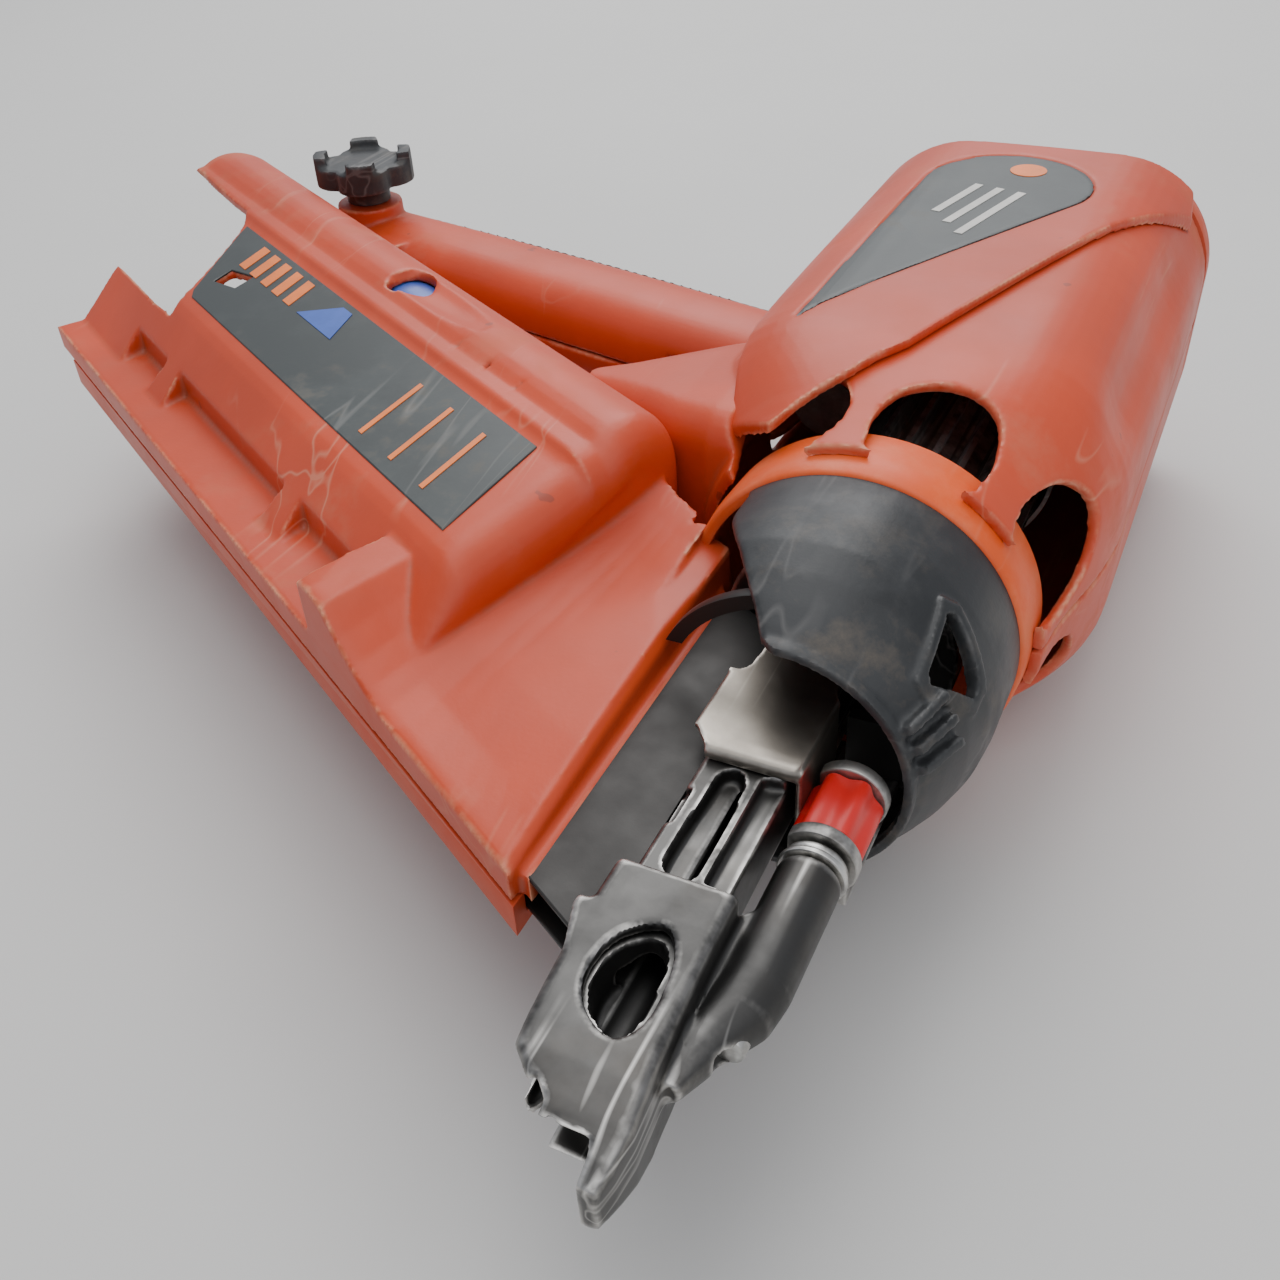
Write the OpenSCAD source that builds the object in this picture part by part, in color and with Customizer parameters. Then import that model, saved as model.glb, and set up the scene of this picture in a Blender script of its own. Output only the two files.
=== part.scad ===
// Gas-powered cordless strip nailer, lying on its left side.
// Tool frame: Y runs from the nose tip to the cap along the drive axis, X points away from
// the handle, Z points to the right side of the tool. place() moves it to the part frame,
// whose origin lies under the drive axis on the surface that the left side rests on.

/* [Overall] */
// Distance from the zero of the drive axis, near the claws, to the end of the housing
tool_h = 350; // [340:1:420]
// Distance from the drive axis to the surface that the left side rests on
rest_half = 54; // [50:1:64]
// Distance from the nose to the spot of the left panel that holds the origin
origin_y = 280; // [260:1:300]
// Angle between the magazine and a line square to the drive axis
mag_angle = 30; // [30:0.5:32]
// Gap between the two halves of every shell
seam_gap = 0.3; // [0.1:0.1:0.6]

/* [Barrel housing] */
// Reach of the housing in front of the drive axis
back_reach = 52; // [50:1:62]
// Reach of the housing towards the handle, at the cap
handle_reach = 58; // [57:1:70]
// Half width of the housing at the right side
right_half_w = 47; // [46:1:56]
// Corner radius of the housing section
barrel_corner = 33; // [28:1:34]
// Wall of the barrel housing
barrel_wall = 3; // [2:0.5:4]
// Start of the vent ring, from the nose
vent_y = 150; // [150:1:156]
// Length of the vent ring
vent_len = 46; // [42:1:50]
// Radius at the start of the vent ring
vent_r = 44; // [44:1:47]
// Width of one vent
vent_w = 33; // [26:1:34]
// Number of vents
vent_count = 6; // [5:1:6]
// Thickness of the side panels
panel_t = 3; // [2:0.5:5]
// Thickness of the dark inlay in each side panel
inlay_t = 1.2; // [0.8:0.1:1.6]
// Thickness of the end cap
cap_t = 9; // [6:1:12]

/* [Engine] */
// Inner radius of the drive cylinder
bore_r = 20; // [18:0.5:21]
// Wall of the drive cylinder
bore_wall = 3; // [2:0.5:4]
// Outer radius over the cooling fins
fin_r = 28; // [26:0.5:28.5]
// Number of cooling fins
fin_count = 24; // [12:1:36]
// Start of the drive cylinder, from the nose
cyl_y = 142; // [141:1:144]
// Length of the drive cylinder
cyl_len = 114; // [108:1:118]
// Inner radius of the combustion chamber
chamber_r = 29.5; // [29:0.5:29.5]
// Wall of the chamber sleeve
chamber_wall = 1.2; // [1:0.1:1.2]
// Length of the chamber sleeve
chamber_len = 64; // [60:1:66]
// Stroke of the piston
stroke = 92; // [80:1:94]
// Running clearance between round sliding pieces, on the radius
run_gap = 0.08; // [0.03:0.01:0.1]
// Radius of the fuel cell
fuel_r = 9.5; // [8:0.5:9.5]
// Length of the fuel cell
fuel_len = 92; // [80:1:94]

/* [Nose] */
// Width of the nose bar across the magazine
nose_w = 18; // [17:0.5:20]
// Thickness of the nose bar
nose_t = 16; // [15:0.5:18]
// Radius of the drive channel
channel_r = 3.8; // [3.2:0.1:4]
// Start of the nose bar
nose_y = 12; // [10:1:14]
// Sliding clearance round the nose bar
foot_gap = 0.4; // [0.3:0.1:0.6]
// Wall of the contact foot
foot_wall = 2.6; // [2.2:0.1:3.4]
// Distance from the drive axis to the depth screw
screw_x = 18.5; // [18:0.5:20]
// Radius of the depth screw
screw_r = 2.5; // [2:0.1:3]
// Radius of the depth wheel
wheel_r = 7.4; // [6:0.2:8]
// Length of the depth wheel
wheel_len = 15; // [12:0.5:16]
// Thickness of the steel of the depth bracket
lug_t = 3; // [2:0.5:3.5]
// Top radius of the black shroud
shroud_r = 40; // [39:0.5:40.5]
// Radius of the lower rim of the shroud
shroud_rim_r = 35.5; // [35:0.5:37]
// Wall of the shroud
shroud_wall = 2.2; // [1.6:0.2:2.4]

/* [Magazine] */
// Distance from the drive axis to the rail edge of the magazine
rail_v = 17; // [14:1:18]
// Width of the magazine from the rail to the back of the bulge
mag_w = 102; // [100:1:110]
// Start of the magazine block
block_u = 106; // [100:1:112]
// End of the covers at the loading notch
notch_u = 298; // [290:1:310]
// End of the rail prong
prong_u = 352; // [345:1:370]
// End of the bulge that holds the battery
bulge_u = 402; // [392:1:415]
// Outer radius of the battery bulge
bulge_r = 18; // [17.5:0.5:20]
// Wall of the magazine covers
mag_wall = 2.5; // [2:0.5:3]
// Height of the label face at its rail edge
label_low = 27; // [25:0.5:30]
// Height of the label face at the bulge
label_high = 33; // [31:0.5:36]
// Thickness of the label
label_t = 0.6; // [0.4:0.1:1]
// Distance from the drive axis to the front edge of the magazine wing
wing_x = 30; // [29:1:34]
// Half thickness of the steel nail channel
chan_half = 5.5; // [5.5:0.1:6]
// Steel thickness of the nail channel
chan_t = 1.2; // [0.8:0.1:1.4]
// Radius of the red spring reel
reel_r = 11; // [9:0.5:12]
// Radius of the battery
battery_r = 14.2; // [13:0.2:14.6]
// Length of the battery
battery_len = 150; // [130:1:160]

/* [Handle] */
// Slope of the handle from a line square to the drive axis
grip_slope = 13; // [11:0.5:14]
// Length of the handle
grip_len = 208; // [200:1:214]
// Depth of the handle, along the drive axis
grip_depth = 38; // [36:1:40]
// Half thickness of the handle
grip_half = 18; // [17:0.5:19]
// Wall of the handle halves
grip_wall = 2.6; // [2:0.2:3]
// Radius of the stud of the thumb knob
stud_r = 4; // [3:0.5:5]
// Radius of the thumb knob over its lobes
knob_r = 18; // [16:1:18]
// Thickness of the rafter hook
hook_t = 4; // [3:0.5:5]
// Length of the rafter hook
hook_len = 105; // [80:1:115]
// Radius of the housing screws
bolt_r = 1.75; // [1.5:0.05:2]

/* [Hidden] */
$fn = 64;
big = 600;
seat = 0.05;
clear = 0.3;
left_half_w = rest_half - panel_t;
vent_top = vent_y + vent_len;
cap_y = tool_h - cap_t;
grip_x = -44;
grip_y = 252;
knob_u = grip_len - 8;
grip_start = 12;
pad_x = 22;
pad_len = grip_len - 48;
block_slant = 0.19;
bulge_v = rail_v + mag_w - bulge_r;
bulge_z = 20;
cyl_r = bore_r + bore_wall;
cyl_top = cyl_y + cyl_len;
head_y = 306;
head_t = 9;
sleeve_y = 228;
fuel_y = 244;
hinge_x = -handle_reach + 2.4;
hinge_y = 301;
piston_t = 10;
bumper_t = 8;
blade_y = 106;
blade_r = channel_r - 0.5;
piston_y = cyl_y + bumper_t + 1 + stroke;
motor_r = 13;
base_y = 136;
cage_y = 106;
cage_t = 3;
cage_r = shroud_rim_r - shroud_wall - 0.5;
rod_r = 1.6;
spring_z = -21;
rod_ring_r = cage_r - rod_r;
rod_angles = [45, 105, 225, 285];
foot_top = 48;
exit_len = 18;
arm_y = 33;
arm_top = 66;
arm_r = 6.5;
lug_y = 70;
wheel_y = lug_y + lug_t + clear;
lug2_y = wheel_y + wheel_len + clear;
bracket_y = 80;
bracket_top = 108;
notch_v = 86;
slope_v0 = rail_v + 9;
slope_v1 = rail_v + 29;
ledge_z = 8.5;
label_v0 = slope_v1;
label_v1 = bulge_v - bulge_r + 1;
reel_u = 297;
reel_v = 66;
chan_v0 = rail_v + 4;
chan_v1 = rail_v + 88;
battery_u = 196;
bolt_us = [150, 240, 316];
bolt_v = rail_v + mag_w - 9.5;
label_u0 = block_u + 22;
pockets = [[148, 180], [190, 272], [283, 312]];
scoop_u0 = 214;
scoop_u1 = 240;
web_u0 = 322;
web_u1 = 352;
panel_points = [[-28, 158], [-45, 186], [-49, 215], [-56, tool_h - 4], [43, tool_h - 4], [44, 322],
                [3, 214]];
inlay_tip = [-36, 200];
inlay_end = [-8, 308];
inlay_r = 26;
inlay_steps = 24;
yoke_half = 26;
post_spots = [[44, 326], [45, 222], [-26, 328]];
grip_posts = [[42, 0], [140, 0]];
board_half = grip_half - grip_wall - seat;

// ---------- placing ----------
module place() translate([0, -origin_y, rest_half]) children();
module box(lo, hi) translate(lo) cube(hi - lo);
module on_drive(y, x = 0, z = 0) translate([x, y, z]) rotate([-90, 0, 0]) children();
module mag() rotate([0, 0, 180 - mag_angle]) mirror([0, 1, 0]) children();
module grip() translate([grip_x, grip_y, 0]) rotate([0, 0, 180 - grip_slope]) mirror([0, 1, 0]) children();
module tube(r_out, r_in, len) difference() {
    cylinder(r = r_out, h = len);
    translate([0, 0, -1]) cylinder(r = r_in, h = len + 2);
}
module right_side() intersection() {
    children();
    box([-big, -big, seam_gap / 2], [big, big, big]);
}
module left_side() intersection() {
    children();
    box([-big, -big, -big], [big, big, -seam_gap / 2]);
}
module round_rect(x0, x1, y0, y1, r) {
    translate([x0 + r, y0]) square([x1 - x0 - 2 * r, y1 - y0]);
    translate([x0, y0 + r]) square([x1 - x0, y1 - y0 - 2 * r]);
    for (x = [x0 + r, x1 - r], y = [y0 + r, y1 - r]) translate([x, y]) circle(r = r);
}

// ---------- barrel housing ----------
module barrel_form(grow, y0 = vent_top - 8, y1 = tool_h) on_drive(y0) linear_extrude(y1 - y0)
    round_rect(-handle_reach - grow, back_reach + grow, -right_half_w - grow, left_half_w + grow,
               barrel_corner + grow);
module vent_form(grow) on_drive(vent_y) rotate_extrude()
    polygon([[0, 0], [vent_r + grow, 0], [right_half_w + grow, vent_len * 0.7],
             [right_half_w + grow, vent_len], [0, vent_len]]);
module vent_cuts() for (i = [0:vent_count - 1])
    rotate([0, 15 + i * 360 / vent_count, 0]) translate([0, vent_y + 4, 0]) rotate([0, 90, 0])
        translate([0, 0, vent_r - 14]) {
            translate([-vent_w / 2, 0, 0]) cube([vent_w, vent_len - 4 - vent_w / 2, 50]);
            translate([0, vent_len - 4 - vent_w / 2, 0]) cylinder(r = vent_w / 2, h = 50);
        }
module yoke_form() box_prism([[-40, 160], [-44, 208], [-84, 195], [-94, 192], [-62, 173.5]], yoke_half);
module box_prism(points, half) translate([0, 0, -half]) linear_extrude(2 * half) polygon(points);
module barrel_shell() {
    difference() {
        union() {
            difference() {
                union() {
                    barrel_form(0);
                    vent_form(0);
                }
                vent_cuts();
            }
            difference() {
                yoke_form();
                magazine_back();
            }
        }
        barrel_form(-barrel_wall, vent_top - 8, tool_h + 20);
        vent_form(-barrel_wall);
        on_drive(vent_y - 1) cylinder(r = vent_r - barrel_wall, h = vent_len);
        box_prism([[-30, 168], [-30, 204], [-82, 191], [-86, 190.5], [-60, 177]], yoke_half - barrel_wall);
        grip_socket();
        fuel_opening();
        box([-big, cap_y, -big], [big, big, big]);
    }
    intersection() {
        for (p = post_spots) translate([p[0], p[1], -big / 2]) cylinder(r = 4.2, h = big);
        barrel_form(-barrel_wall / 2);
    }
}
module grip_socket() grip() translate([-30, 0, 0]) rotate([90, 0, 90])
    linear_extrude(60) round_rect(-grip_depth / 2 - clear, grip_depth / 2 + clear, -grip_half - clear,
                                  grip_half + clear, 14);
module fuel_opening() {
    box([-handle_reach - 10, hinge_y - 4, -14.5], [-handle_reach + 6, cap_y - 4, 14.5]);
    translate([hinge_x, hinge_y, -17]) cylinder(r = 1, h = 34);
}
module bolt_holes(spots, top, head_z) for (p = spots) {
    translate([p[0], p[1], -big]) cylinder(r = bolt_r + seat, h = big + top);
    translate([p[0], p[1], -big]) cylinder(r = bolt_r + 1.6 + seat, h = big + head_z);
}
module housing_right() color("tomato") right_side() difference() {
    barrel_shell();
    bolt_holes(post_spots, 14, -16);
}
module housing_left() color("tomato") left_side() difference() {
    barrel_shell();
    bolt_holes(post_spots, 14, -16);
}
module panel_skin(out, into) difference() {
    barrel_form(out, vent_y, cap_y + cap_t);
    barrel_form(into, vent_y - 1, cap_y + cap_t + 1);
}
module panel_outline(top) translate([0, 0, top ? 20 : -big]) linear_extrude(big - 20) children();
module inlay_shape(gap) {
    reach = inlay_tip - inlay_end;
    aim = atan2(reach[1], reach[0]);
    spread = acos(inlay_r / norm(reach));
    r = inlay_r - gap;
    translate(inlay_end) polygon(concat([reach * (1 - gap / inlay_r)],
        [for (i = [0:inlay_steps]) r * [cos(aim + spread + i * (360 - 2 * spread) / inlay_steps),
                                        sin(aim + spread + i * (360 - 2 * spread) / inlay_steps)]]));
}
module inlay_pocket(out) intersection() {
    panel_skin(out, panel_t - inlay_t);
    union() {
        panel_outline(true) inlay_shape(0);
        panel_outline(false) inlay_shape(0);
    }
}
module side_panel(top) difference() {
    intersection() {
        panel_skin(panel_t, seat);
        panel_outline(top) polygon(panel_points);
    }
    inlay_pocket(panel_t + 1);
    bolt_holes(post_spots, 0, -10);
    on_drive(vent_y - 2) tube(vent_r + 20, 1, 9);
}
module side_panel_right() color("tomato") side_panel(true);
module side_panel_left() color("tomato") side_panel(false);
module inlay(top) intersection() {
    panel_skin(panel_t - 0.1, panel_t - inlay_t + seat);
    panel_outline(top) inlay_shape(0.15);
}
module panel_inlay_right() color("dimgray") inlay(true);
module panel_inlay_left() color("dimgray") inlay(false);
module vent_collar() color("orangered") on_drive(vent_y - 0.5)
    tube(vent_r - barrel_wall - seat, shroud_r + clear, 13);
module nose_shroud() color("dimgray") difference() {
    on_drive(98) difference() {
        cylinder(r1 = shroud_rim_r, r2 = shroud_r, h = vent_y - 98);
        translate([0, 0, -0.01]) cylinder(r1 = shroud_rim_r - shroud_wall, r2 = shroud_r - shroud_wall,
                                          h = vent_y - 98 + 0.02);
    }
    for (s = [-1, 1]) translate([-8, 98, 0]) linear_extrude_dir(s)
        polygon([[0, -1], [-24, 54], [-60, 54], [-60, -1]]);
    box([-60, 90, -20], [-8, 160, 20]);
}
module linear_extrude_dir(s) translate([0, 0, s > 0 ? 0 : -60]) linear_extrude(60) children();
module end_cap() color("tomato") difference() {
    on_drive(cap_y + seat) linear_extrude(cap_t - 1) round_rect(-handle_reach, back_reach, -right_half_w,
                                                     left_half_w, barrel_corner);
    on_drive(cap_y - 1) translate([0, 0, 0]) cylinder(r = 34, h = 5);
    for (i = [-5:5]) box([-30, cap_y - 1, i * 6 - 1.5], [30, tool_h + 1, i * 6 + 1.5]);
}
module air_filter() color("gray") on_drive(cap_y - 4) tube(33, 15, 7.5);
module fuel_door() color("dimgray") difference() {
    union() {
        box([-handle_reach + 0.4, hinge_y, -14], [-handle_reach + 2.6, cap_y - 6, 14]);
        translate([hinge_x, hinge_y, -14]) cylinder(r = 2.2, h = 28);
    }
    translate([hinge_x, hinge_y, -15]) cylinder(r = 1 + run_gap, h = 30);
}
module fuel_door_pin() color("silver") translate([hinge_x, hinge_y, -17]) cylinder(r = 1, h = 34);

// ---------- handle ----------
module grip_form(grow) translate([grip_start, 0, 0]) rotate([90, 0, 90])
    linear_extrude(grip_len - grip_start + grow)
        round_rect(-grip_depth / 2 - grow, grip_depth / 2 + grow, -grip_half - grow, grip_half + grow,
                   14 + grow);
module grip_shell() {
    difference() {
        union() {
            grip_form(0);
            translate([knob_u, 0, -30]) cylinder(r = 12, h = 52);
        }
        translate([-2, 0, 0]) grip_form(-grip_wall);
        pad_slot(0);
        trigger_slot();
    }
    difference() {
        translate([knob_u, 0, -30]) cylinder(r = 12, h = 52);
        translate([knob_u, 0, -31]) cylinder(r = stud_r + seat, h = 60);
    }
    for (p = grip_posts) translate([p[0], p[1], -17]) cylinder(r = 4.2, h = 34);
}
module pad_slot(gap) translate([pad_x - gap, grip_depth / 2 - 1.2, -10 - gap])
    cube([pad_len + 2 * gap, 10, 20 + 2 * gap]);
module trigger_slot() translate([16, -grip_depth / 2 - 5, -7]) cube([30, 14, 14]);
module grip_holes() {
    for (p = grip_posts) {
        translate([p[0], p[1], -big]) cylinder(r = bolt_r + seat, h = big + 12);
        translate([p[0], p[1], -big]) cylinder(r = bolt_r + 1.6 + seat, h = big - 13);
    }
    translate([knob_u, 0, -31]) cylinder(r = stud_r + seat, h = 60);
}
module magazine_back() mag() box([-big, -big, -big], [big, rail_v + mag_w + clear, big]);
module grip_web() difference() {
    mag() box([web_u0, rail_v + mag_w, -16], [web_u1, rail_v + mag_w + 18, 16]);
    grip() grip_form(-grip_wall);
    grip() grip_holes();
}
module grip_body() difference() {
    union() {
        grip() difference() {
            grip_shell();
            grip_holes();
        }
        grip_web();
    }
    magazine_back();
}
module handle_right() color("tomato") right_side() grip_body();
module handle_left() color("tomato") left_side() grip_body();
module grip_pad() color("dimgray") grip() translate([pad_x + seat, grip_depth / 2 - 1.2 + seat, -10 + seat])
    cube([pad_len - 2 * seat, 2.2, 20 - 2 * seat]);
module trigger() color("black") grip() difference() {
    translate([18, -grip_depth / 2 - 20, -6.7]) cube([20, 26, 13.4]);
    translate([12, -grip_depth / 2 - 14, -7]) cylinder(r = 12, h = 14);
}
module trigger_spring() color("silver") grip() translate([30, -grip_depth / 2 + 6 + clear, 0])
    rotate([-90, 0, 0]) tube(3.2, 2.2, 5.4);
module trigger_switch() color("black") grip() translate([22, -grip_depth / 2 + 12, -board_half])
    cube([14, 10, 2 * board_half]);
module thumb_knob() color("black") grip() translate([knob_u, 0, 0]) {
    translate([0, 0, 2 - rest_half]) cylinder(r = stud_r, h = rest_half + 22);
    translate([0, 0, 22.3]) cylinder(r = 8, h = 8);
    translate([0, 0, 28]) cylinder(r = 12, h = 9);
    for (i = [0:3]) rotate([0, 0, 45 + i * 90]) translate([knob_r - 10, -4.5, 28]) cube([10, 9, 12]);
}
module rafter_hook() color("dimgray") grip() difference() {
    union() {
        translate([knob_u, 0, -rest_half]) cylinder(r = 12, h = hook_t);
        translate([knob_u - hook_len, -9, -rest_half]) cube([hook_len, 18, hook_t]);
        translate([knob_u, 0, -rest_half]) cylinder(r = 7, h = rest_half - 30.3);
    }
    translate([knob_u, 0, -rest_half - 1]) cylinder(r = stud_r + run_gap, h = 40);
}
module knob_nut() color("silver") grip() translate([knob_u, 0, -rest_half + 0.6])
    tube(stud_r - 0.3, 1.5, 1.4);

// ---------- engine ----------
module drive_cylinder() color("silver") {
    on_drive(cyl_y) tube(cyl_r, bore_r, cyl_len);
    on_drive(cyl_y) tube(fin_r, cyl_r - 1, 4);
    on_drive(cyl_top - 5) tube(chamber_r - run_gap, cyl_r - 1, 5);
    for (i = [0:fin_count - 1]) rotate([0, i * 360 / fin_count, 0])
        box([cyl_r - 1, cyl_y + 3, -0.7], [fin_r, cyl_top - 4, 0.7]);
}
module cylinder_head() color("silver") difference() {
    on_drive(head_y) cylinder(r = chamber_r - run_gap, h = head_t);
    on_drive(head_y - 1) cylinder(r = 2.5 + run_gap, h = 20);
    on_drive(head_y - 1, 18, 11) cylinder(r = 3.5 + seat, h = 20);
    on_drive(head_y - 1, -19, 8) cylinder(r = 2.5 + seat, h = 20);
}
module chamber_sleeve() color("lightgray") {
    on_drive(sleeve_y) tube(chamber_r + chamber_wall, chamber_r, chamber_len);
    for (a = rod_angles) rotate([0, -a, 0])
        box([chamber_r + 0.1, sleeve_y - 3, -3], [cage_r, sleeve_y + 2, 3]);
}
module fan_motor() color("silver") {
    on_drive(head_y + head_t) cylinder(r = motor_r, h = 26);
}
module fan() color("dimgray") {
    on_drive(head_y - 12) cylinder(r = 2.5, h = 12 + head_t - 0.3);
    on_drive(head_y - 12) cylinder(r = 6, h = 6);
    for (i = [0:3]) rotate([0, i * 90 + 20, 0]) box([5, head_y - 12, -4], [20, head_y - 7, -2.5]);
}
module spark_plug() color("white") on_drive(head_y - 4, 18, 11) cylinder(r = 3.5, h = 24);
module fuel_valve() color("black") {
    on_drive(head_y - 3, -19, 8) cylinder(r = 2.5, h = 16);
    box([-31, head_y + head_t + clear, 3], [-14.5, head_y + head_t + 8, 15]);
}
module fuel_cell() color("lightgray")
    on_drive(fuel_y, -chamber_r - chamber_wall - 1 - fuel_r) cylinder(r = fuel_r, h = fuel_len);
module piston() color("silver") on_drive(piston_y) difference() {
    cylinder(r = bore_r - run_gap, h = piston_t);
    translate([0, 0, 4]) tube(bore_r + 1, bore_r - 1.5, 3);
    translate([0, 0, -1]) cylinder(r = blade_r + seat, h = 8);
}
module piston_rings() color("gray") on_drive(piston_y + 4 + seat)
    tube(bore_r - run_gap, bore_r - 1.5 + seat, 3 - 2 * seat);
module driver_blade() color("silver") on_drive(blade_y) cylinder(r = blade_r, h = piston_y + 7 - blade_y);
module bumper() color("black") on_drive(cyl_y) tube(bore_r - seat, 8, bumper_t);

// ---------- nose ----------
module nose_bar(grow, y0, y1) box([-nose_w / 2 - 1 - grow, y0, -nose_t / 2 - grow],
                                  [nose_w / 2 - 1 + grow, y1, nose_t / 2 + grow]);
module nosepiece() color("dimgray") difference() {
    union() {
        nose_bar(0, nose_y, base_y + 1);
        on_drive(base_y) cylinder(r = 28, h = cyl_y - base_y);
    }
    on_drive(nose_y - 1) cylinder(r = channel_r, h = cyl_y);
    on_drive(nose_y + exit_len) cylinder(r = channel_r + 0.3, h = cyl_y);
    box([-20, nose_y + exit_len, -2], [0, 104, 2]);
    box([-3, 50, nose_t / 2 - 3], [3.5, 78, nose_t]);
    box([-30, 62, nose_t / 2 - 2], [-8, 72, nose_t]);
}
module nose_bracket() color("lightgray") {
    bracket_z = nose_t / 2 + 3.4;
    box([-14, bracket_y, bracket_z], [11.2, bracket_top, bracket_z + 1.6]);
    box([9.6, bracket_y, -4], [11.2, bracket_top - 4, bracket_z + 0.1]);
    box([-14, bracket_top - 12, nose_t / 2 + clear], [-12.4, bracket_top, bracket_z + 0.1]);
    box([-10, bracket_top - 0.1, bracket_z], [8, 134, bracket_z + 1.6]);
    box([-9, bracket_top - 6, nose_t / 2 + seat], [7, bracket_top - 1, bracket_z]);
}
module foot_outer(y0, y1) box([-nose_w / 2 - 1 - foot_gap - foot_wall, y0, -nose_t / 2 - foot_gap - foot_wall],
                              [nose_w / 2 - 1 + foot_gap + foot_wall, y1, nose_t / 2 + foot_gap + foot_wall]);
module contact_foot() color("dimgray") difference() {
    union() {
        foot_outer(0, foot_top);
        on_drive(arm_y, screw_x) cylinder(r = arm_r, h = arm_top - arm_y);
        hull() {
            on_drive(arm_y - 12, 13) cylinder(r = 3, h = 26, $fn = 32);
            on_drive(arm_y - 4, screw_x) cylinder(r = arm_r, h = 14, $fn = 32);
        }
        hull() {
            foot_outer(0, 4);
            box([-4, -11, -6], [11, -10, 9]);
        }
    }
    nose_bar(foot_gap, -20, foot_top + 1);
    box([-6, 22, 0], [6, 42, 30]);
    box([-30, -20, -3], [-4, 3, 30]);
    box([-3, -20, 4], [3, -5, 30]);
    box([-30, -20, -chan_half - 0.7], [-9.2, foot_top + 1, chan_half + 0.7]);
    on_drive(arm_y - 20, screw_x) cylinder(r = screw_r + seat, h = 60);
}
module depth_screw() color("silver") on_drive(arm_y - 8, screw_x)
    cylinder(r = screw_r, h = lug2_y + lug_t + 11 - arm_y);
module screw_washers() color("silver") {
    on_drive(arm_top + 0.1, screw_x) tube(arm_r + 0.6, screw_r + seat, 1.4);
    on_drive(arm_top + 1.7, screw_x) tube(arm_r, screw_r + seat, 1.6);
}
module lug(y) difference() {
    intersection() {
        union() {
            on_drive(y, screw_x) cylinder(r = 8, h = lug_t);
            box([0, y, -10], [screw_x + 6, y + lug_t, -1]);
        }
        box([nose_w / 2 + 3.2, y - 1, -big], [big, y + lug_t + 1, big]);
    }
    on_drive(y - 1, screw_x) cylinder(r = screw_r + run_gap, h = lug_t + 2);
}
module depth_bracket() color("darkgray") {
    lug(lug_y);
    lug(lug2_y);
    box([nose_w / 2 + 3.2, lug_y, -10], [screw_x + 6, cage_y, -8.4]);
}
module depth_wheel() color("red") on_drive(wheel_y, screw_x) difference() {
    union() {
        cylinder(r = wheel_r - 1.6, h = wheel_len);
        for (i = [0:5]) rotate([0, 0, i * 60]) translate([wheel_r - 3.2, 0, 0])
            cylinder(r = 3, h = wheel_len);
    }
    translate([0, 0, -1]) cylinder(r = screw_r + run_gap, h = wheel_len + 2);
}
module lift_cage() color("gray") {
    difference() {
        on_drive(cage_y) tube(cage_r, cage_r - 3.4, cage_t);
        box([-cage_r - 1, cage_y - 1, -14], [-18, cage_y + cage_t + 1, 14]);
    }
    box([12.2, cage_y, -10], [cage_r - 1.5, cage_y + cage_t, 6]);
    box([-6, cage_y, -cage_r + 1], [6, cage_y + cage_t, spring_z + 6]);
    for (a = rod_angles) rotate([0, -a, 0]) on_drive(cage_y + 1, rod_ring_r)
        cylinder(r = rod_r, h = sleeve_y - 3 - cage_y - 1);
}
module return_spring() color("silver") on_drive(cage_y + cage_t + clear, 0, spring_z)
    tube(5, 3.8, base_y - cage_y - cage_t - 2 * clear);

// ---------- magazine ----------
module cover_section() {
    polygon([[rail_v, 0], [rail_v, ledge_z], [slope_v0, ledge_z], [slope_v1, label_low],
             [label_v1, label_high], [bulge_v, label_high], [bulge_v + bulge_r, bulge_z],
             [bulge_v + bulge_r, 0]]);
    translate([bulge_v, bulge_z]) circle(r = bulge_r);
}
module wing_section()
    polygon([[rail_v, 0], [rail_v, ledge_z], [slope_v0, ledge_z], [60, 13], [100, 13], [100, 0]]);
module inner_cover_section() offset(delta = -mag_wall) cover_section();
module sweep_u(u0, u1) translate([u0, 0, 0]) rotate([90, 0, 90]) linear_extrude(u1 - u0) children();
module wing_edge(gap) box([-wing_x - gap, -big, -big], [big, big, big]);
module engine_room() {
    on_drive(vent_y - 3) cylinder(r = vent_r + clear, h = 8);
    on_drive(vent_y + 5) cylinder(r = right_half_w + clear, h = vent_len);
    on_drive(cage_y - 2) cylinder(r = shroud_r + clear, h = vent_y - cage_y);
}
module side_pockets(grow) mag() for (p = pockets)
    translate([0, 0, ledge_z - grow]) linear_extrude(60) polygon([
        [p[0] + 6 - grow, rail_v - 10], [p[0] - grow, slope_v0 + 9 + grow],
        [p[1] + grow, slope_v0 + 9 + grow], [p[1] - 8 + grow, rail_v - 10]]);
module right_cover_form() difference() {
    union() {
        difference() {
            mag() sweep_u(block_u, bulge_u) cover_section();
            mag() translate([0, 0, 6]) linear_extrude(80)
                polygon([[0, -10], [block_u, rail_v], [block_u + mag_w * block_slant, rail_v + mag_w],
                         [block_u + mag_w * block_slant, 200], [0, 200]]);
        }
        mag() sweep_u(30, block_u + 30) wing_section();
    }
    wing_edge(0);
    engine_room();
    mag() translate([0, 0, -1]) linear_extrude(80)
        polygon([[notch_u, label_v0 - 3], [notch_u + 42, notch_v], [big, notch_v], [big, label_v0 - 3]]);
    mag() box([prong_u, -1, -1], [big, notch_v + 0.1, 60]);
}
module right_cover_hollow() difference() {
    mag() sweep_u(block_u + 8, bulge_u + 1) {
        inner_cover_section();
        translate([0, -mag_wall]) inner_cover_section();
    }
    side_pockets(mag_wall);
    mag() box([0, rail_v - 1, -1], [big, rail_v + mag_wall, 60]);
}
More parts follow.
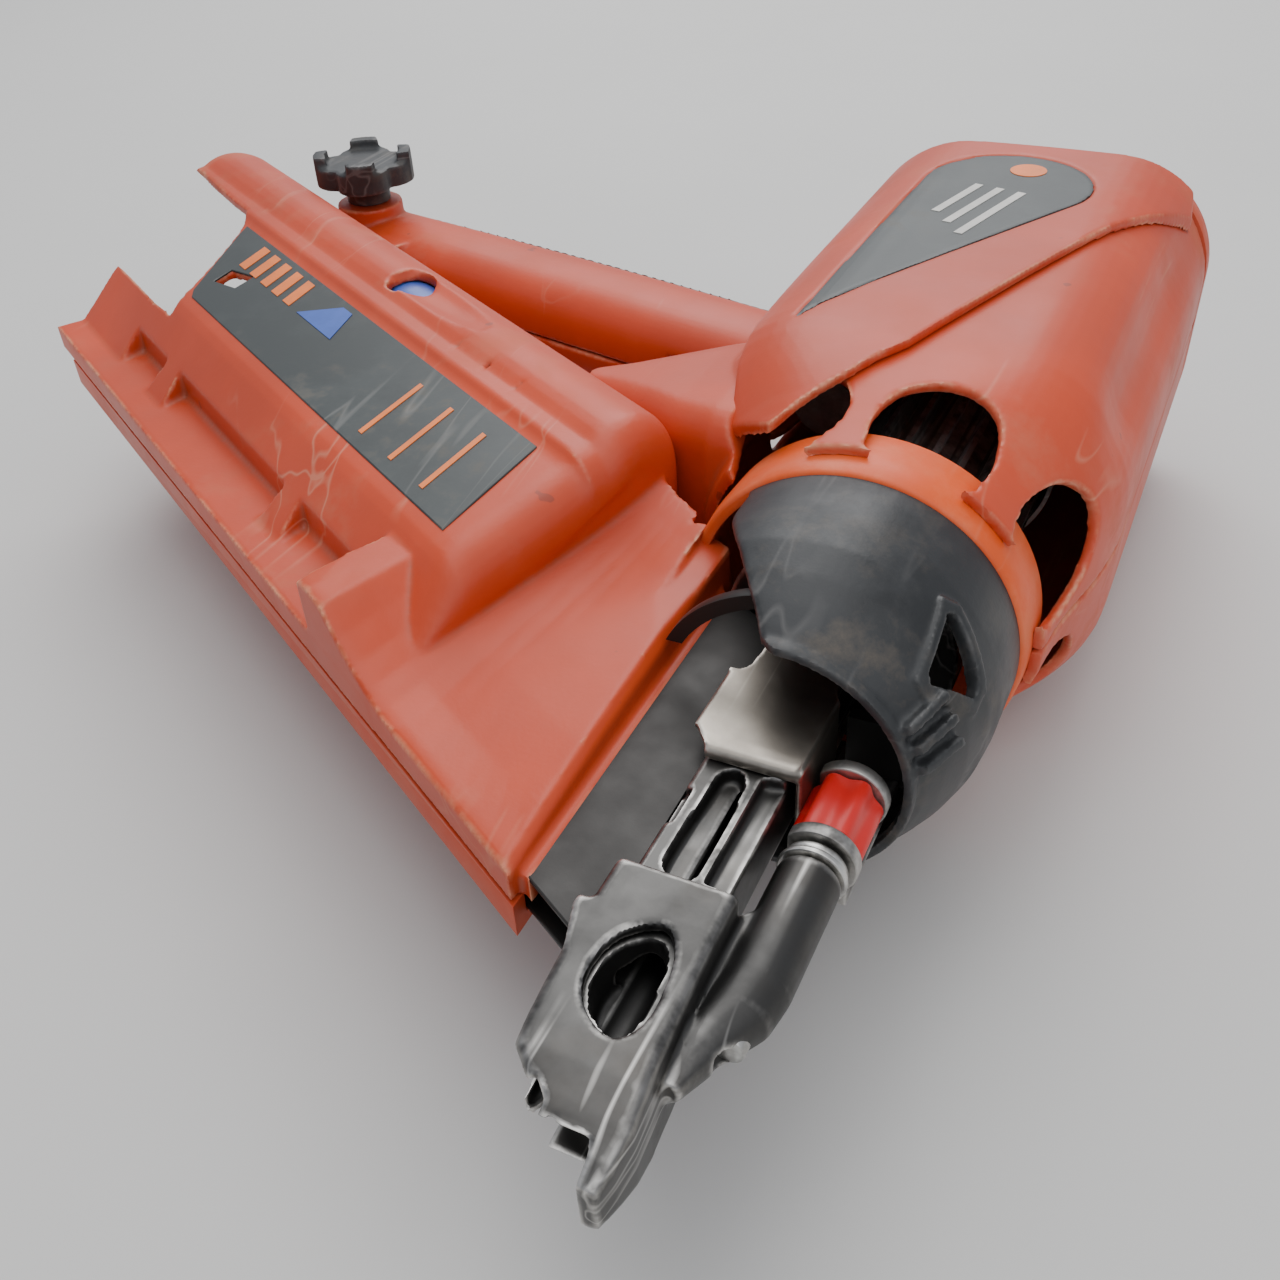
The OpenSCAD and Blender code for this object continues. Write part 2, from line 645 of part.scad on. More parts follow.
module magazine_right() color("tomato") right_side() {
    right_cover();
    mag() for (u = bolt_us) difference() {
        box([u - 4, bolt_v - 3.5, 0], [u + 4, rail_v + mag_w - 1, 5]);
        translate([u, bolt_v, -1]) cylinder(r = bolt_r + seat, h = 5);
    }
}
module right_cover() difference() {
    right_cover_form();
    right_cover_hollow();
    side_pockets(0);
    mag() box([20, chan_v0 - clear, -1], [prong_u + 1, chan_v1 + clear, chan_half + clear]);
    mag() box([scoop_u0, bulge_v - 12, bulge_z + 8], [scoop_u1, bulge_v + 8, 60]);
    mag() box([reel_u - 10, reel_v - 4, 20], [reel_u + 2, reel_v + 4, 60]);
    mag() translate([bulge_u - 24, bulge_v, 14]) rotate([-90, 0, 0]) cylinder(r = 5 + clear, h = 40);
}
module magazine_left() color("tomato") left_side() difference() {
    union() {
        difference() {
            union() {
                mag() mirror([0, 0, 1]) sweep_u(block_u, bulge_u - 60) left_section();
                mag() mirror([0, 0, 1]) sweep_u(30, block_u + 30) wing_section();
            }
            wing_edge(0);
            mag() mirror([0, 0, 1]) sweep_u(block_u + 8, bulge_u - 63)
                offset(delta = -mag_wall) left_section();
        }
        mag() for (u = bolt_us) translate([u, bolt_v, -26]) cylinder(r = 4, h = 26);
    }
    engine_room();
    mag() mirror([0, 0, 1]) box([20, chan_v0 - clear, -1], [prong_u + 1, chan_v1 + clear, chan_half + clear]);
    mag() for (u = bolt_us) translate([u, bolt_v, -big]) {
        cylinder(r = bolt_r + seat, h = big + 2);
        cylinder(r = bolt_r + 1.6 + seat, h = big - 22);
    }
}
module left_section() polygon([[rail_v, 0], [rail_v, ledge_z], [slope_v0, ledge_z], [slope_v1, label_low],
                               [label_v1, label_low + 3], [bulge_v + 6, label_low + 3],
                               [bulge_v + bulge_r, 16], [bulge_v + bulge_r, 0]]);
module magazine_label() color("dimgray") mag() difference() {
    translate([0, label_v0, label_low]) rotate([atan2(label_high - label_low, label_v1 - label_v0), 0, 0])
        translate([0, 0, seat]) linear_extrude(label_t) polygon([[label_u0, 1], [label_u0 + 9, 37],
                                                       [notch_u + 30, 37], [notch_u - 4, 1]]);
    box([reel_u - 10, reel_v - 4, 20], [reel_u + 2, reel_v + 4, 60]);
}
module nail_channel() color("silver") difference() {
    mag() difference() {
        box([0, chan_v0, -chan_half], [330, chan_v1, chan_half]);
        box([-1, chan_v0 - 1, -chan_half + chan_t], [331, chan_v1 - chan_t, chan_half - chan_t]);
    }
    box([-nose_w / 2 - 1 - clear, -big, -big], [big, big, big]);
    on_drive(base_y - clear) cylinder(r = 30, h = 20);
}
module follower() color("black") intersection() {
    mag() box([0, chan_v0 + 8, -chan_half + chan_t + clear],
              [200, chan_v1 - chan_t - clear, chan_half - chan_t - clear]);
    box([-64, 0, -10], [-40, big, 10]);
}
module spring_reel() color("red") mag() translate([reel_u, reel_v, chan_half + 1])
    tube(reel_r, 2 + run_gap, 16);
module reel_axle() color("silver") mag() translate([reel_u, reel_v, chan_half + seat])
    cylinder(r = 2, h = 18.5);
module battery() color("royalblue") mag() translate([battery_u, bulge_v, bulge_z]) rotate([0, 90, 0])
    cylinder(r = battery_r, h = battery_len);
module battery_contacts() color("gold") mag() for (s = [-1, 1])
    box([battery_u - 7, bulge_v - 3 + s * 6, bulge_z - 3],
        [battery_u - clear, bulge_v + 1 + s * 6, bulge_z + 3]);
module battery_latch() color("black") mag() translate([bulge_u - 24, rail_v + mag_w - 2, 14])
    rotate([-90, 0, 0]) cylinder(r = 5, h = 4);
module control_board() color("green") grip() translate([60, -4, -board_half]) cube([70, 2, 2 * board_half]);
module spark_unit() color("black") grip() translate([150, -4.5, -board_half]) cube([12, 9, 2 * board_half]);
module housing_screws() color("dimgray") {
    for (p = post_spots) bolt(p, -16, 13);
    grip() for (p = grip_posts) bolt(p, -13, 11);
}
module bolt(p, head_z, tip_z) {
    translate([p[0], p[1], head_z - 3]) cylinder(r = bolt_r + 1.6, h = 3);
    translate([p[0], p[1], head_z - 1]) cylinder(r = bolt_r, h = tip_z - head_z + 1);
}
module magazine_bolts() color("dimgray") mag() for (u = bolt_us) bolt([u, bolt_v], -22, 3.5);

place() housing_right();
place() housing_left();
place() side_panel_right();
place() side_panel_left();
place() panel_inlay_right();
place() panel_inlay_left();
place() vent_collar();
place() nose_shroud();
place() end_cap();
place() air_filter();
place() fuel_door();
place() fuel_door_pin();
place() handle_right();
place() handle_left();
place() grip_pad();
place() drive_cylinder();
place() cylinder_head();
place() chamber_sleeve();
place() fan_motor();
place() fan();
place() spark_plug();
place() fuel_valve();
place() fuel_cell();
place() piston();
place() piston_rings();
place() driver_blade();
place() bumper();
place() nosepiece();
place() nose_bracket();
place() contact_foot();
place() depth_screw();
place() depth_bracket();
place() depth_wheel();
place() screw_washers();
place() lift_cage();
place() return_spring();
place() nail_channel();
place() magazine_right();
place() magazine_left();
place() magazine_label();
place() follower();
place() spring_reel();
place() reel_axle();
place() battery();
place() battery_contacts();
place() battery_latch();
place() control_board();
place() spark_unit();
place() trigger();
place() trigger_spring();
place() trigger_switch();
place() thumb_knob();
place() rafter_hook();
place() knob_nut();
place() housing_screws();
place() magazine_bolts();
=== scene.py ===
"""Cordless strip nailer, lying on its left side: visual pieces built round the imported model."""
import math

import bmesh
import bpy
from bpy.props import FloatProperty, FloatVectorProperty, IntProperty, PointerProperty
from mathutils import Matrix, Vector


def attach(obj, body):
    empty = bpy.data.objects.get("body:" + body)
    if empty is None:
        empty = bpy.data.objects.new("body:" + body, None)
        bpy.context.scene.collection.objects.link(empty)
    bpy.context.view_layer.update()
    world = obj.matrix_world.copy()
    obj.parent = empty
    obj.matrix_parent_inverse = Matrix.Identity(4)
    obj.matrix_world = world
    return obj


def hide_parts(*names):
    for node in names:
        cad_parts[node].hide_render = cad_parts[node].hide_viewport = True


bl_info = {
    "name": "Strip nailer",
    "version": (1, 0, 0),
    "blender": (4, 5, 0),
    "location": "View3D > Sidebar > Nailer",
    "description": "Builds the housing, magazine, nose and handle pieces of a cordless strip nailer",
    "category": "Object",
}

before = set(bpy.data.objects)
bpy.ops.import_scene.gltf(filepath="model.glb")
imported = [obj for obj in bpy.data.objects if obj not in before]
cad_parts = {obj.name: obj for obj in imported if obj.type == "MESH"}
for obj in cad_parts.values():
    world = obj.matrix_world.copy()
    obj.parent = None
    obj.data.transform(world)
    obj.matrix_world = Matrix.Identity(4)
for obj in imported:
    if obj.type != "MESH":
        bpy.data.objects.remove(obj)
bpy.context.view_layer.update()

SLOPE = math.radians(30)
TILT = math.radians(13)
RAIL_V, MAG_END_V = 17.0, 119.0


# ---------- places, in millimetres of the tool frame ----------
def at(p):
    """A point of the tool frame in millimetres, as a point of the row frame in metres."""
    return Vector((p[0] / 1000, (p[1] - 280) / 1000, (p[2] + 54) / 1000))


def on_plan(p, z):
    return (p[0], p[1], z)


def on_magazine(p, z):
    """A point (u, v) along and across the magazine, at height z."""
    u, v = p
    return (-u * math.cos(SLOPE) + v * math.sin(SLOPE), u * math.sin(SLOPE) + v * math.cos(SLOPE), z)


def across_magazine(p, u):
    """A point (v, z) of a section across the magazine at u."""
    return on_magazine((u, p[0]), p[1])


def on_handle(p, z):
    """A point (x, y) along and across the handle, at height z."""
    x, y = p
    return (-44 - x * math.cos(TILT) + y * math.sin(TILT), 252 + x * math.sin(TILT) + y * math.cos(TILT), z)


def across_handle(p, x):
    return on_handle((x, p[0]), p[1])


def across_drive(p, y):
    """A point (x, z) of a section square to the drive axis at y."""
    return (p[0], y, p[1])


def circle(centre, radius, count=48, start=0.0):
    return [(centre[0] + radius * math.cos(start + 2 * math.pi * i / count),
             centre[1] + radius * math.sin(start + 2 * math.pi * i / count)) for i in range(count)]


def flowing(points, steps=6):
    """A closed outline that passes smoothly through the points."""
    out, n = [], len(points)
    for i in range(n):
        a, b, c, d = (points[(i + k - 1) % n] for k in range(4))
        for s in range(steps):
            t = s / steps
            out.append(tuple(0.5 * (2 * b[k] + (c[k] - a[k]) * t + (2 * a[k] - 5 * b[k] + 4 * c[k] - d[k]) * t * t
                                    + (3 * b[k] - a[k] - 3 * c[k] + d[k]) * t ** 3) for k in (0, 1)))
    return out


def rounded_box(x0, x1, z0, z1, r, count=12):
    """An outline of a box with round corners."""
    out = []
    for cx, cz, a in ((x1 - r, z1 - r, 0), (x0 + r, z1 - r, 90), (x0 + r, z0 + r, 180), (x1 - r, z0 + r, 270)):
        for i in range(count + 1):
            t = math.radians(a + 90 * i / count)
            out.append((cx + r * math.cos(t), cz + r * math.sin(t)))
    return out


# ---------- modelling steps ----------
def pick(*objects):
    """Only these objects are selected, and the first is the active one."""
    bpy.ops.object.select_all(action="DESELECT")
    for o in objects:
        o.select_set(True)
    bpy.context.view_layer.objects.active = objects[0]


def spot(p):
    return (round(p[0], 6), round(p[1], 6), round(p[2], 6))


def loft(name, sections):
    """A closed solid through outlines of the same number of points, each extruded from the last."""
    bpy.ops.object.select_all(action="DESELECT")
    rings = [[at(p) for p in s] for s in sections]
    bpy.ops.mesh.primitive_circle_add(vertices=len(rings[0]), radius=0.01, fill_type="NGON")
    o = bpy.context.object
    o.name = name
    for v, p in zip(o.data.vertices, rings[0]):
        v.co = p
    bpy.ops.object.mode_set(mode="EDIT")
    bpy.ops.mesh.select_all(action="SELECT")
    for last, now in zip(rings, rings[1:]):
        bpy.ops.mesh.extrude_region_move(TRANSFORM_OT_translate={"value": (0, 0, 0)})
        where = {spot(p): i for i, p in enumerate(last)}
        bm = bmesh.from_edit_mesh(o.data)
        for v in bm.verts:
            if v.select:
                v.co = now[where[spot(v.co)]]
        bmesh.update_edit_mesh(o.data)
    bpy.ops.mesh.select_all(action="SELECT")
    bpy.ops.mesh.normals_make_consistent(inside=False)
    bpy.ops.object.mode_set(mode="OBJECT")
    return o


def prism(name, outline, place, low, high):
    return loft(name, [[place(p, low) for p in outline], [place(p, high) for p in outline]])


def modifier(o, kind, **values):
    """Adds a modifier, sets it, and applies it."""
    pick(o)
    bpy.ops.object.modifier_add(type=kind)
    m = o.modifiers[-1]
    for k, value in values.items():
        setattr(m, k, value)
    bpy.ops.object.modifier_apply(modifier=m.name)


def combine(o, other, operation):
    modifier(o, "BOOLEAN", operation=operation, solver="EXACT", object=other)
    bpy.data.objects.remove(other)
    return o


def cut(o, *others):
    for c in others:
        combine(o, c, "DIFFERENCE")
    return o


def weld(o, *others):
    for c in others:
        combine(o, c, "UNION")
    return o


def twin(o, name):
    """A copy with its own mesh."""
    pick(o)
    bpy.ops.object.duplicate(linked=False)
    c = bpy.context.object
    c.name = name
    return c


def soften(o, voxel, turns, keep=0.5):
    """Turns the hard-edged solid into a moulded one, with a small radius on each edge."""
    modifier(o, "REMESH", mode="VOXEL", voxel_size=voxel / 1000)
    modifier(o, "SMOOTH", factor=0.5, iterations=turns)
    if keep < 1:
        modifier(o, "DECIMATE", decimate_type="COLLAPSE", ratio=keep)
    return o


def chamfer(o, width, segments=2, angle=32):
    modifier(o, "WELD", merge_threshold=0.00001)
    modifier(o, "BEVEL", width=width / 1000, segments=segments, limit_method="ANGLE",
             angle_limit=math.radians(angle), harden_normals=False, use_clamp_overlap=True)
    return o


def smooth_by_angle(o, angle=35):
    pick(o)
    bpy.ops.object.shade_smooth_by_angle(angle=math.radians(angle))


def done(o, body, material, nodes=(), angle=35):
    """The piece rides on its body, stands for its nodes and takes its finish."""
    o.data.materials.clear()
    o.data.materials.append(material)
    smooth_by_angle(o, angle)
    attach(o, body)
    if nodes:
        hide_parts(*nodes)
    return o


# ---------- finishes ----------
class NailerColours(bpy.types.PropertyGroup):
    """Colours of the finishes, in linear light."""
    orange: FloatVectorProperty(name="Orange", description="Sun-faded orange of the shells",
                                default=(0.60, 0.060, 0.014), size=3, subtype="COLOR", min=0, max=1)
    fresh_orange: FloatVectorProperty(name="Fresh orange", description="Orange where the sun never reached",
                                      default=(0.84, 0.10, 0.010), size=3, subtype="COLOR", min=0, max=1)
    black: FloatVectorProperty(name="Black", description="Black moulded parts",
                               default=(0.018, 0.019, 0.020), size=3, subtype="COLOR", min=0, max=1)
    film: FloatVectorProperty(name="Film", description="Dark printed film of the labels",
                              default=(0.032, 0.038, 0.037), size=3, subtype="COLOR", min=0, max=1)
    print_orange: FloatVectorProperty(name="Print", description="Printed marks",
                                      default=(0.78, 0.17, 0.02), size=3, subtype="COLOR", min=0, max=1)
    steel: FloatVectorProperty(name="Steel", description="Bare sheet steel",
                               default=(0.40, 0.36, 0.31), size=3, subtype="COLOR", min=0, max=1)
    nose_steel: FloatVectorProperty(name="Nose steel", description="Blackened steel of the nose",
                                    default=(0.085, 0.083, 0.080), size=3, subtype="COLOR", min=0, max=1)
    red: FloatVectorProperty(name="Red", description="Red wheel and reel",
                             default=(0.70, 0.018, 0.014), size=3, subtype="COLOR", min=0, max=1)
    rubber: FloatVectorProperty(name="Rubber", description="Grip rubber",
                                default=(0.055, 0.062, 0.058), size=3, subtype="COLOR", min=0, max=1)
    dust: FloatVectorProperty(name="Dust", description="Wood dust and grime that lies on the parts",
                              default=(0.42, 0.31, 0.20), size=3, subtype="COLOR", min=0, max=1)
    floor: FloatVectorProperty(name="Floor", description="Pale floor",
                               default=(0.62, 0.61, 0.59), size=3, subtype="COLOR", min=0, max=1)


class NailerSizes(bpy.types.PropertyGroup):
    """Sizes that shape the visual pieces, in millimetres of the tool."""
    shell_voxel: FloatProperty(name="Shell grain", description="Grid that the moulded shells are softened on, mm",
                               default=0.75, min=0.6, max=3)
    nose_voxel: FloatProperty(name="Nose grain", description="Grid that the nose parts are softened on, mm",
                              default=0.62, min=0.4, max=2)
    shell_turns: IntProperty(name="Shell softening", description="Smoothing turns on the shells",
                             default=9, min=1, max=40)
    shell_wall: FloatProperty(name="Shell wall", description="Wall of the barrel shell, mm",
                              default=3.0, min=2, max=5)
    vent_width: FloatProperty(name="Vent width", description="Width of one vent, mm", default=28.0, min=20, max=36)
    edge: FloatProperty(name="Edge", description="Small edge radius on turned and folded parts, mm",
                        default=0.5, min=0.1, max=2)


def colours():
    return bpy.context.scene.nailer_colours


def sizes():
    return bpy.context.scene.nailer_sizes


class Sheet:
    """A node tree that is written line by line."""

    def __init__(self, name):
        self.material = bpy.data.materials.new(name)
        self.material.use_nodes = True
        self.tree = self.material.node_tree
        self.shader = self.tree.nodes["Principled BSDF"]
        self.place = self.tree.nodes.new("ShaderNodeTexCoord").outputs["Object"]

    def node(self, kind, inputs=None, **values):
        n = self.tree.nodes.new(kind)
        for k, value in values.items():
            setattr(n, k, value)
        for k, value in (inputs or {}).items():
            if isinstance(value, bpy.types.NodeSocket):
                self.tree.links.new(value, n.inputs[k])
            else:
                n.inputs[k].default_value = value
        return n

    def stretched(self, turn, scale):
        return self.node("ShaderNodeMapping", {"Vector": self.place, "Rotation": turn, "Scale": scale}).outputs[0]

    def noise(self, scale, detail=4.0, rough=0.55, vector=None):
        return self.node("ShaderNodeTexNoise", {"Vector": vector or self.place, "Scale": scale, "Detail": detail,
                                                "Roughness": rough}).outputs["Fac"]

    def ramp(self, value, low, high, to_low=0.0, to_high=1.0):
        return self.node("ShaderNodeMapRange", {"Value": value, "From Min": low, "From Max": high,
                                                "To Min": to_low, "To Max": to_high}).outputs["Result"]

    def times(self, a, b):
        return self.node("ShaderNodeMath", {0: a, 1: b}, operation="MULTIPLY", use_clamp=True).outputs[0]

    def plus(self, a, b):
        return self.node("ShaderNodeMath", {0: a, 1: b}, operation="ADD", use_clamp=True).outputs[0]

    def mix(self, amount, a, b):
        n = self.node("ShaderNodeMix", {"Factor": amount}, data_type="RGBA")
        for k, value in ((6, a), (7, b)):
            if isinstance(value, bpy.types.NodeSocket):
                self.tree.links.new(value, n.inputs[k])
            else:
                n.inputs[k].default_value = (*value[:3], 1)
        return n.outputs[2]

    def scratches(self, turn, scale=26.0, thin=0.035):
        """Thin bright lines along one direction."""
        lines = self.noise(scale, 3, 0.5, self.stretched((0.3, 0.2, turn), (1.0, 0.035, 1.0)))
        near = self.node("ShaderNodeMath", {0: lines, 1: 0.5}, operation="SUBTRACT").outputs[0]
        size = self.node("ShaderNodeMath", {0: near}, operation="ABSOLUTE").outputs[0]
        return self.ramp(size, 0.0, thin * 0.25, 1.0, 0.0)

    def edges(self, low, high):
        """Worn edges from how sharply the surface turns; with low above high, the hollows that take painted shade."""
        point = self.node("ShaderNodeNewGeometry").outputs["Pointiness"]
        return self.ramp(point, low, high)

    def up(self, low, high):
        """Surfaces that face up as the tool lies."""
        normal = self.node("ShaderNodeNewGeometry").outputs["Normal"]
        z = self.node("ShaderNodeSeparateXYZ", {0: normal}).outputs[2]
        return self.ramp(z, low, high)

    def finish(self, colour, rough, metal=0.0, bump=None, strength=0.1, distance=0.0004, **sockets):
        for k, value in (("Base Color", colour), ("Roughness", rough), ("Metallic", metal)):
            if isinstance(value, bpy.types.NodeSocket):
                self.tree.links.new(value, self.shader.inputs[k])
            elif k == "Base Color":
                self.shader.inputs[k].default_value = (*value[:3], 1)
            else:
                self.shader.inputs[k].default_value = value
        if bump is not None:
            b = self.node("ShaderNodeBump", {"Height": bump, "Strength": strength, "Distance": distance})
            self.tree.links.new(b.outputs[0], self.shader.inputs["Normal"])
        for k, value in sockets.items():
            self.shader.inputs[k.replace("_", " ")].default_value = value
        return self.material


# dusty sets the dust and also how strong the painted shade in the hollows is
def shell_plastic(name, base, faded=0.35, dusty=0.5, worn=0.5):
    """Glass-filled nylon: faded, finely grained, scuffed and dusty, with painted shade that darkens the hollows."""
    s, c = Sheet(name), colours()
    patch = s.ramp(s.noise(14, 5, 0.6), 0.36, 0.68)
    pale = tuple(min(1.0, v * 1.05 + 0.03) for v in base)
    deep = tuple(v * 0.80 for v in base)
    tone = s.mix(patch, deep, base)
    tone = s.mix(s.times(s.ramp(s.noise(5.5, 3), 0.40, 0.70), faded), tone, pale)
    grime = s.times(s.ramp(s.noise(42, 6, 0.68), 0.50, 0.72), s.ramp(s.noise(9, 3), 0.42, 0.66))
    tone = s.mix(s.times(grime, dusty * 0.55), tone, c.dust)
    # painted shade: the concave hollows are darkened towards a dark dust tone
    hollow = s.edges(0.492, 0.462)
    tone = s.mix(s.times(hollow, dusty * 0.8), tone, tuple(v * 0.35 for v in c.dust))
    fine = s.plus(s.scratches(0.5, 22), s.scratches(-0.9, 30))
    where = s.ramp(s.noise(11, 4, 0.6), 0.52, 0.66)
    marks = s.times(fine, where)
    tone = s.mix(s.times(marks, worn * 0.4), tone, (0.80, 0.62, 0.42))
    rim = s.times(s.edges(0.515, 0.545), s.ramp(s.noise(60, 5, 0.7), 0.42, 0.60))
    tone = s.mix(s.times(rim, worn), tone, (0.78, 0.45, 0.26))
    chips = s.ramp(s.noise(95, 3, 0.5), 0.735, 0.755)
    tone = s.mix(s.times(chips, worn * 0.8), tone, (0.05, 0.035, 0.03))
    rough = s.ramp(s.plus(s.times(grime, 0.8), s.times(s.noise(34, 4), 0.5)), 0.1, 0.9, 0.36, 0.72)
    grain = s.plus(s.times(s.noise(900, 2, 0.6), 0.55), s.times(marks, 0.25))
    return s.finish(tone, rough, bump=grain, strength=0.16, distance=0.0003, Specular_IOR_Level=0.42)


def black_plastic(name, base, dusty=0.5, rough=(0.38, 0.7)):
    """Black nylon, scuffed grey, with fine dust."""
    s, c = Sheet(name), colours()
    cloud = s.ramp(s.noise(26, 6, 0.65), 0.42, 0.70)
    tone = s.mix(s.times(cloud, 0.55), base, tuple(v * 2.6 + 0.014 for v in base))
    dust = s.times(s.ramp(s.noise(75, 6, 0.7), 0.50, 0.74), s.ramp(s.noise(13, 3), 0.44, 0.64))
    tone = s.mix(s.times(dust, dusty * 0.5), tone, tuple(v * 0.75 for v in c.dust))
    marks = s.times(s.plus(s.scratches(0.9, 24), s.scratches(-0.3, 34)), s.ramp(s.noise(12, 3), 0.50, 0.64))
    tone = s.mix(s.times(marks, 0.35), tone, (0.22, 0.21, 0.20))
    rim = s.times(s.edges(0.515, 0.55), s.ramp(s.noise(70, 4, 0.7), 0.44, 0.6))
    tone = s.mix(s.times(rim, 0.45), tone, (0.16, 0.155, 0.15))
    grit = s.plus(s.times(s.noise(1100, 2), 0.5), s.times(marks, 0.3))
    return s.finish(tone, s.ramp(cloud, 0, 1, *rough), bump=grit, strength=0.18, distance=0.0003,
                    Specular_IOR_Level=0.42)


def worn_metal(name, base, bright, metal=1.0, rough=(0.28, 0.55), wear=0.8, stain=0.5):
    """Steel with brushed lines, patchy stains and bright worn edges."""
    s = Sheet(name)
    cloud = s.ramp(s.noise(38, 6, 0.65), 0.38, 0.68)
    brushed = s.noise(60, 4, 0.6, s.stretched((0.1, 0.2, 0.35), (1, 0.06, 1)))
    tone = s.mix(s.times(cloud, 0.6), base, tuple(v * 0.62 for v in base))
    tone = s.mix(s.times(s.ramp(s.noise(17, 5, 0.7), 0.52, 0.72), stain), tone, (0.055, 0.040, 0.026))
    rim = s.times(s.edges(0.508, 0.54), s.ramp(s.noise(85, 4, 0.7), 0.36, 0.56))
    marks = s.times(s.plus(s.scratches(0.3, 40, 0.05), s.scratches(-1.1, 55, 0.05)), s.ramp(s.noise(22, 3), 0.44, 0.62))
    tone = s.mix(s.times(s.plus(rim, s.times(marks, 0.7)), wear), tone, bright)
    shine = s.ramp(s.plus(s.times(cloud, 0.6), s.times(brushed, 0.4)), 0.1, 0.9, *rough)
    lines = s.plus(s.times(brushed, 0.5), s.times(s.noise(420, 3), 0.3))
    return s.finish(tone, shine, metal, bump=lines, strength=0.14, distance=0.0003)


def film(name, base, rough=0.42):
    """Printed film with fine scratches and dust."""
    s, c = Sheet(name), colours()
    tone = s.mix(s.times(s.ramp(s.noise(30, 6, 0.65), 0.45, 0.7), 0.5), base, tuple(v * 1.7 + 0.012 for v in base))
    dust = s.times(s.ramp(s.noise(120, 6, 0.7), 0.52, 0.72), s.ramp(s.noise(16, 3), 0.44, 0.62))
    marks = s.times(s.plus(s.scratches(0.2, 30), s.scratches(1.2, 38)), s.ramp(s.noise(14, 3), 0.46, 0.62))
    tone = s.mix(s.times(dust, 0.22), tone, tuple(v * 0.7 for v in c.dust))
    tone = s.mix(s.times(marks, 0.28), tone, (0.35, 0.34, 0.32))
    return s.finish(tone, s.ramp(s.plus(dust, marks), 0, 1, rough, rough + 0.25), bump=s.noise(700, 2),
                    strength=0.06, distance=0.0002)


def plain(name, base, rough=0.5, metal=0.0, grain=220.0, vary=0.25, strength=0.1):
    """A small part's finish: a little mottled and grained."""
    s = Sheet(name)
    tone = s.mix(s.times(s.ramp(s.noise(grain * 0.15, 5, 0.6), 0.35, 0.7), vary * 2), base, tuple(v * 0.6 for v in base))
    return s.finish(tone, s.ramp(s.noise(grain * 0.3, 4), 0.3, 0.7, rough * 0.8, min(1, rough * 1.2)), metal,
                    bump=s.noise(grain * 4, 2), strength=strength, distance=0.0002)


MATERIALS = {}


def finish_of(key):
    return MATERIALS[key]


def mix_finishes():
    c = colours()
    MATERIALS.update(
        shell=shell_plastic("faded_orange_shell", c.orange),
        cover=shell_plastic("smooth_orange_shell", c.orange, dusty=0.2, worn=0.05),
        fresh=shell_plastic("fresh_orange_ring", c.fresh_orange, faded=0.05, dusty=0.25, worn=0.2),
        black=black_plastic("scuffed_black_shroud", c.black),
        knob=black_plastic("knob_black", tuple(v * 1.15 for v in c.black), dusty=0.7),
        film=film("dark_film", c.film),
        marks=film("orange_print", c.print_orange, 0.45),
        pale=film("pale_print", (0.55, 0.53, 0.49), 0.5),
        blue=film("blue_print", (0.05, 0.11, 0.42), 0.35),
        steel=worn_metal("bare_sheet_steel", c.steel, (0.75, 0.70, 0.62), rough=(0.30, 0.50), stain=0.35),
        nose=worn_metal("blackened_nose_steel", c.nose_steel, (0.62, 0.60, 0.57), rough=(0.30, 0.55), wear=0.9, stain=0.3),
        rod=worn_metal("dull_rod_steel", (0.20, 0.195, 0.185), (0.6, 0.58, 0.55), rough=(0.34, 0.55), stain=0.35),
        zinc=worn_metal("zinc_plate", (0.42, 0.41, 0.39), (0.78, 0.77, 0.74), rough=(0.30, 0.48), stain=0.4),
        alu=worn_metal("cast_aluminium", (0.40, 0.39, 0.37), (0.80, 0.79, 0.77), rough=(0.36, 0.6), stain=0.55),
        red=plain("red_gloss", c.red, 0.32, grain=160),
        dark=plain("dark_sheet_steel", (0.030, 0.028, 0.026), 0.45, 0.6),
        rubber=black_plastic("grip_rubber", c.rubber, dusty=0.35, rough=(0.58, 0.82)),
        foam=plain("filter_foam", (0.03, 0.03, 0.032), 0.9, grain=600, strength=0.6),
        white=plain("glazed_ceramic", (0.75, 0.74, 0.70), 0.22),
        brass=plain("contact_brass", (0.72, 0.52, 0.20), 0.3, 1.0),
        green=plain("board_green", (0.02, 0.14, 0.05), 0.4),
        ink=plain("hollow_black", (0.008, 0.008, 0.008), 0.8),
    )


# ---------- barrel ----------
BARREL = dict(x0=-58.0, x1=52.0, z0=-51.0, z1=47.0, r=33.0)


def reach(angle, grow=0.0):
    """Distance from the drive axis to the rounded box of the barrel, in one direction."""
    b = BARREL
    dx, dz = math.cos(angle), math.sin(angle)
    r = b["r"] + grow
    low, high = 0.0, 120.0
    for _ in range(28):
        m = (low + high) / 2
        x, z = m * dx, m * dz
        cx = min(max(x, b["x0"] + b["r"]), b["x1"] - b["r"])
        cz = min(max(z, b["z0"] + b["r"]), b["z1"] - b["r"])
        if math.hypot(x - cx, z - cz) < r:
            low = m
        else:
            high = m
    return low


def barrel_ring(y, grow, count=96):
    """The barrel's outline at y: round at the vents, a rounded box towards the cap."""
    t = min(max((y - 158) / 46, 0), 1)
    t = t * t * (3 - 2 * t)
    round_r = 44 + 3 * min(max((y - 150) / 30, 0), 1)
    out = []
    for i in range(count):
        a = 2 * math.pi * i / count
        flute = 0.0
        if y > 186:
            hollow = math.exp(-((math.degrees(a) - 33) / 9.5) ** 2)
            flute = 4.2 * hollow * min(1, (y - 186) / 30) * min(1, max(0, (352 - y) / 60))
        r = round_r * (1 - t) + reach(a) * t + grow - flute
        out.append((r * math.cos(a), r * math.sin(a)))
    return out


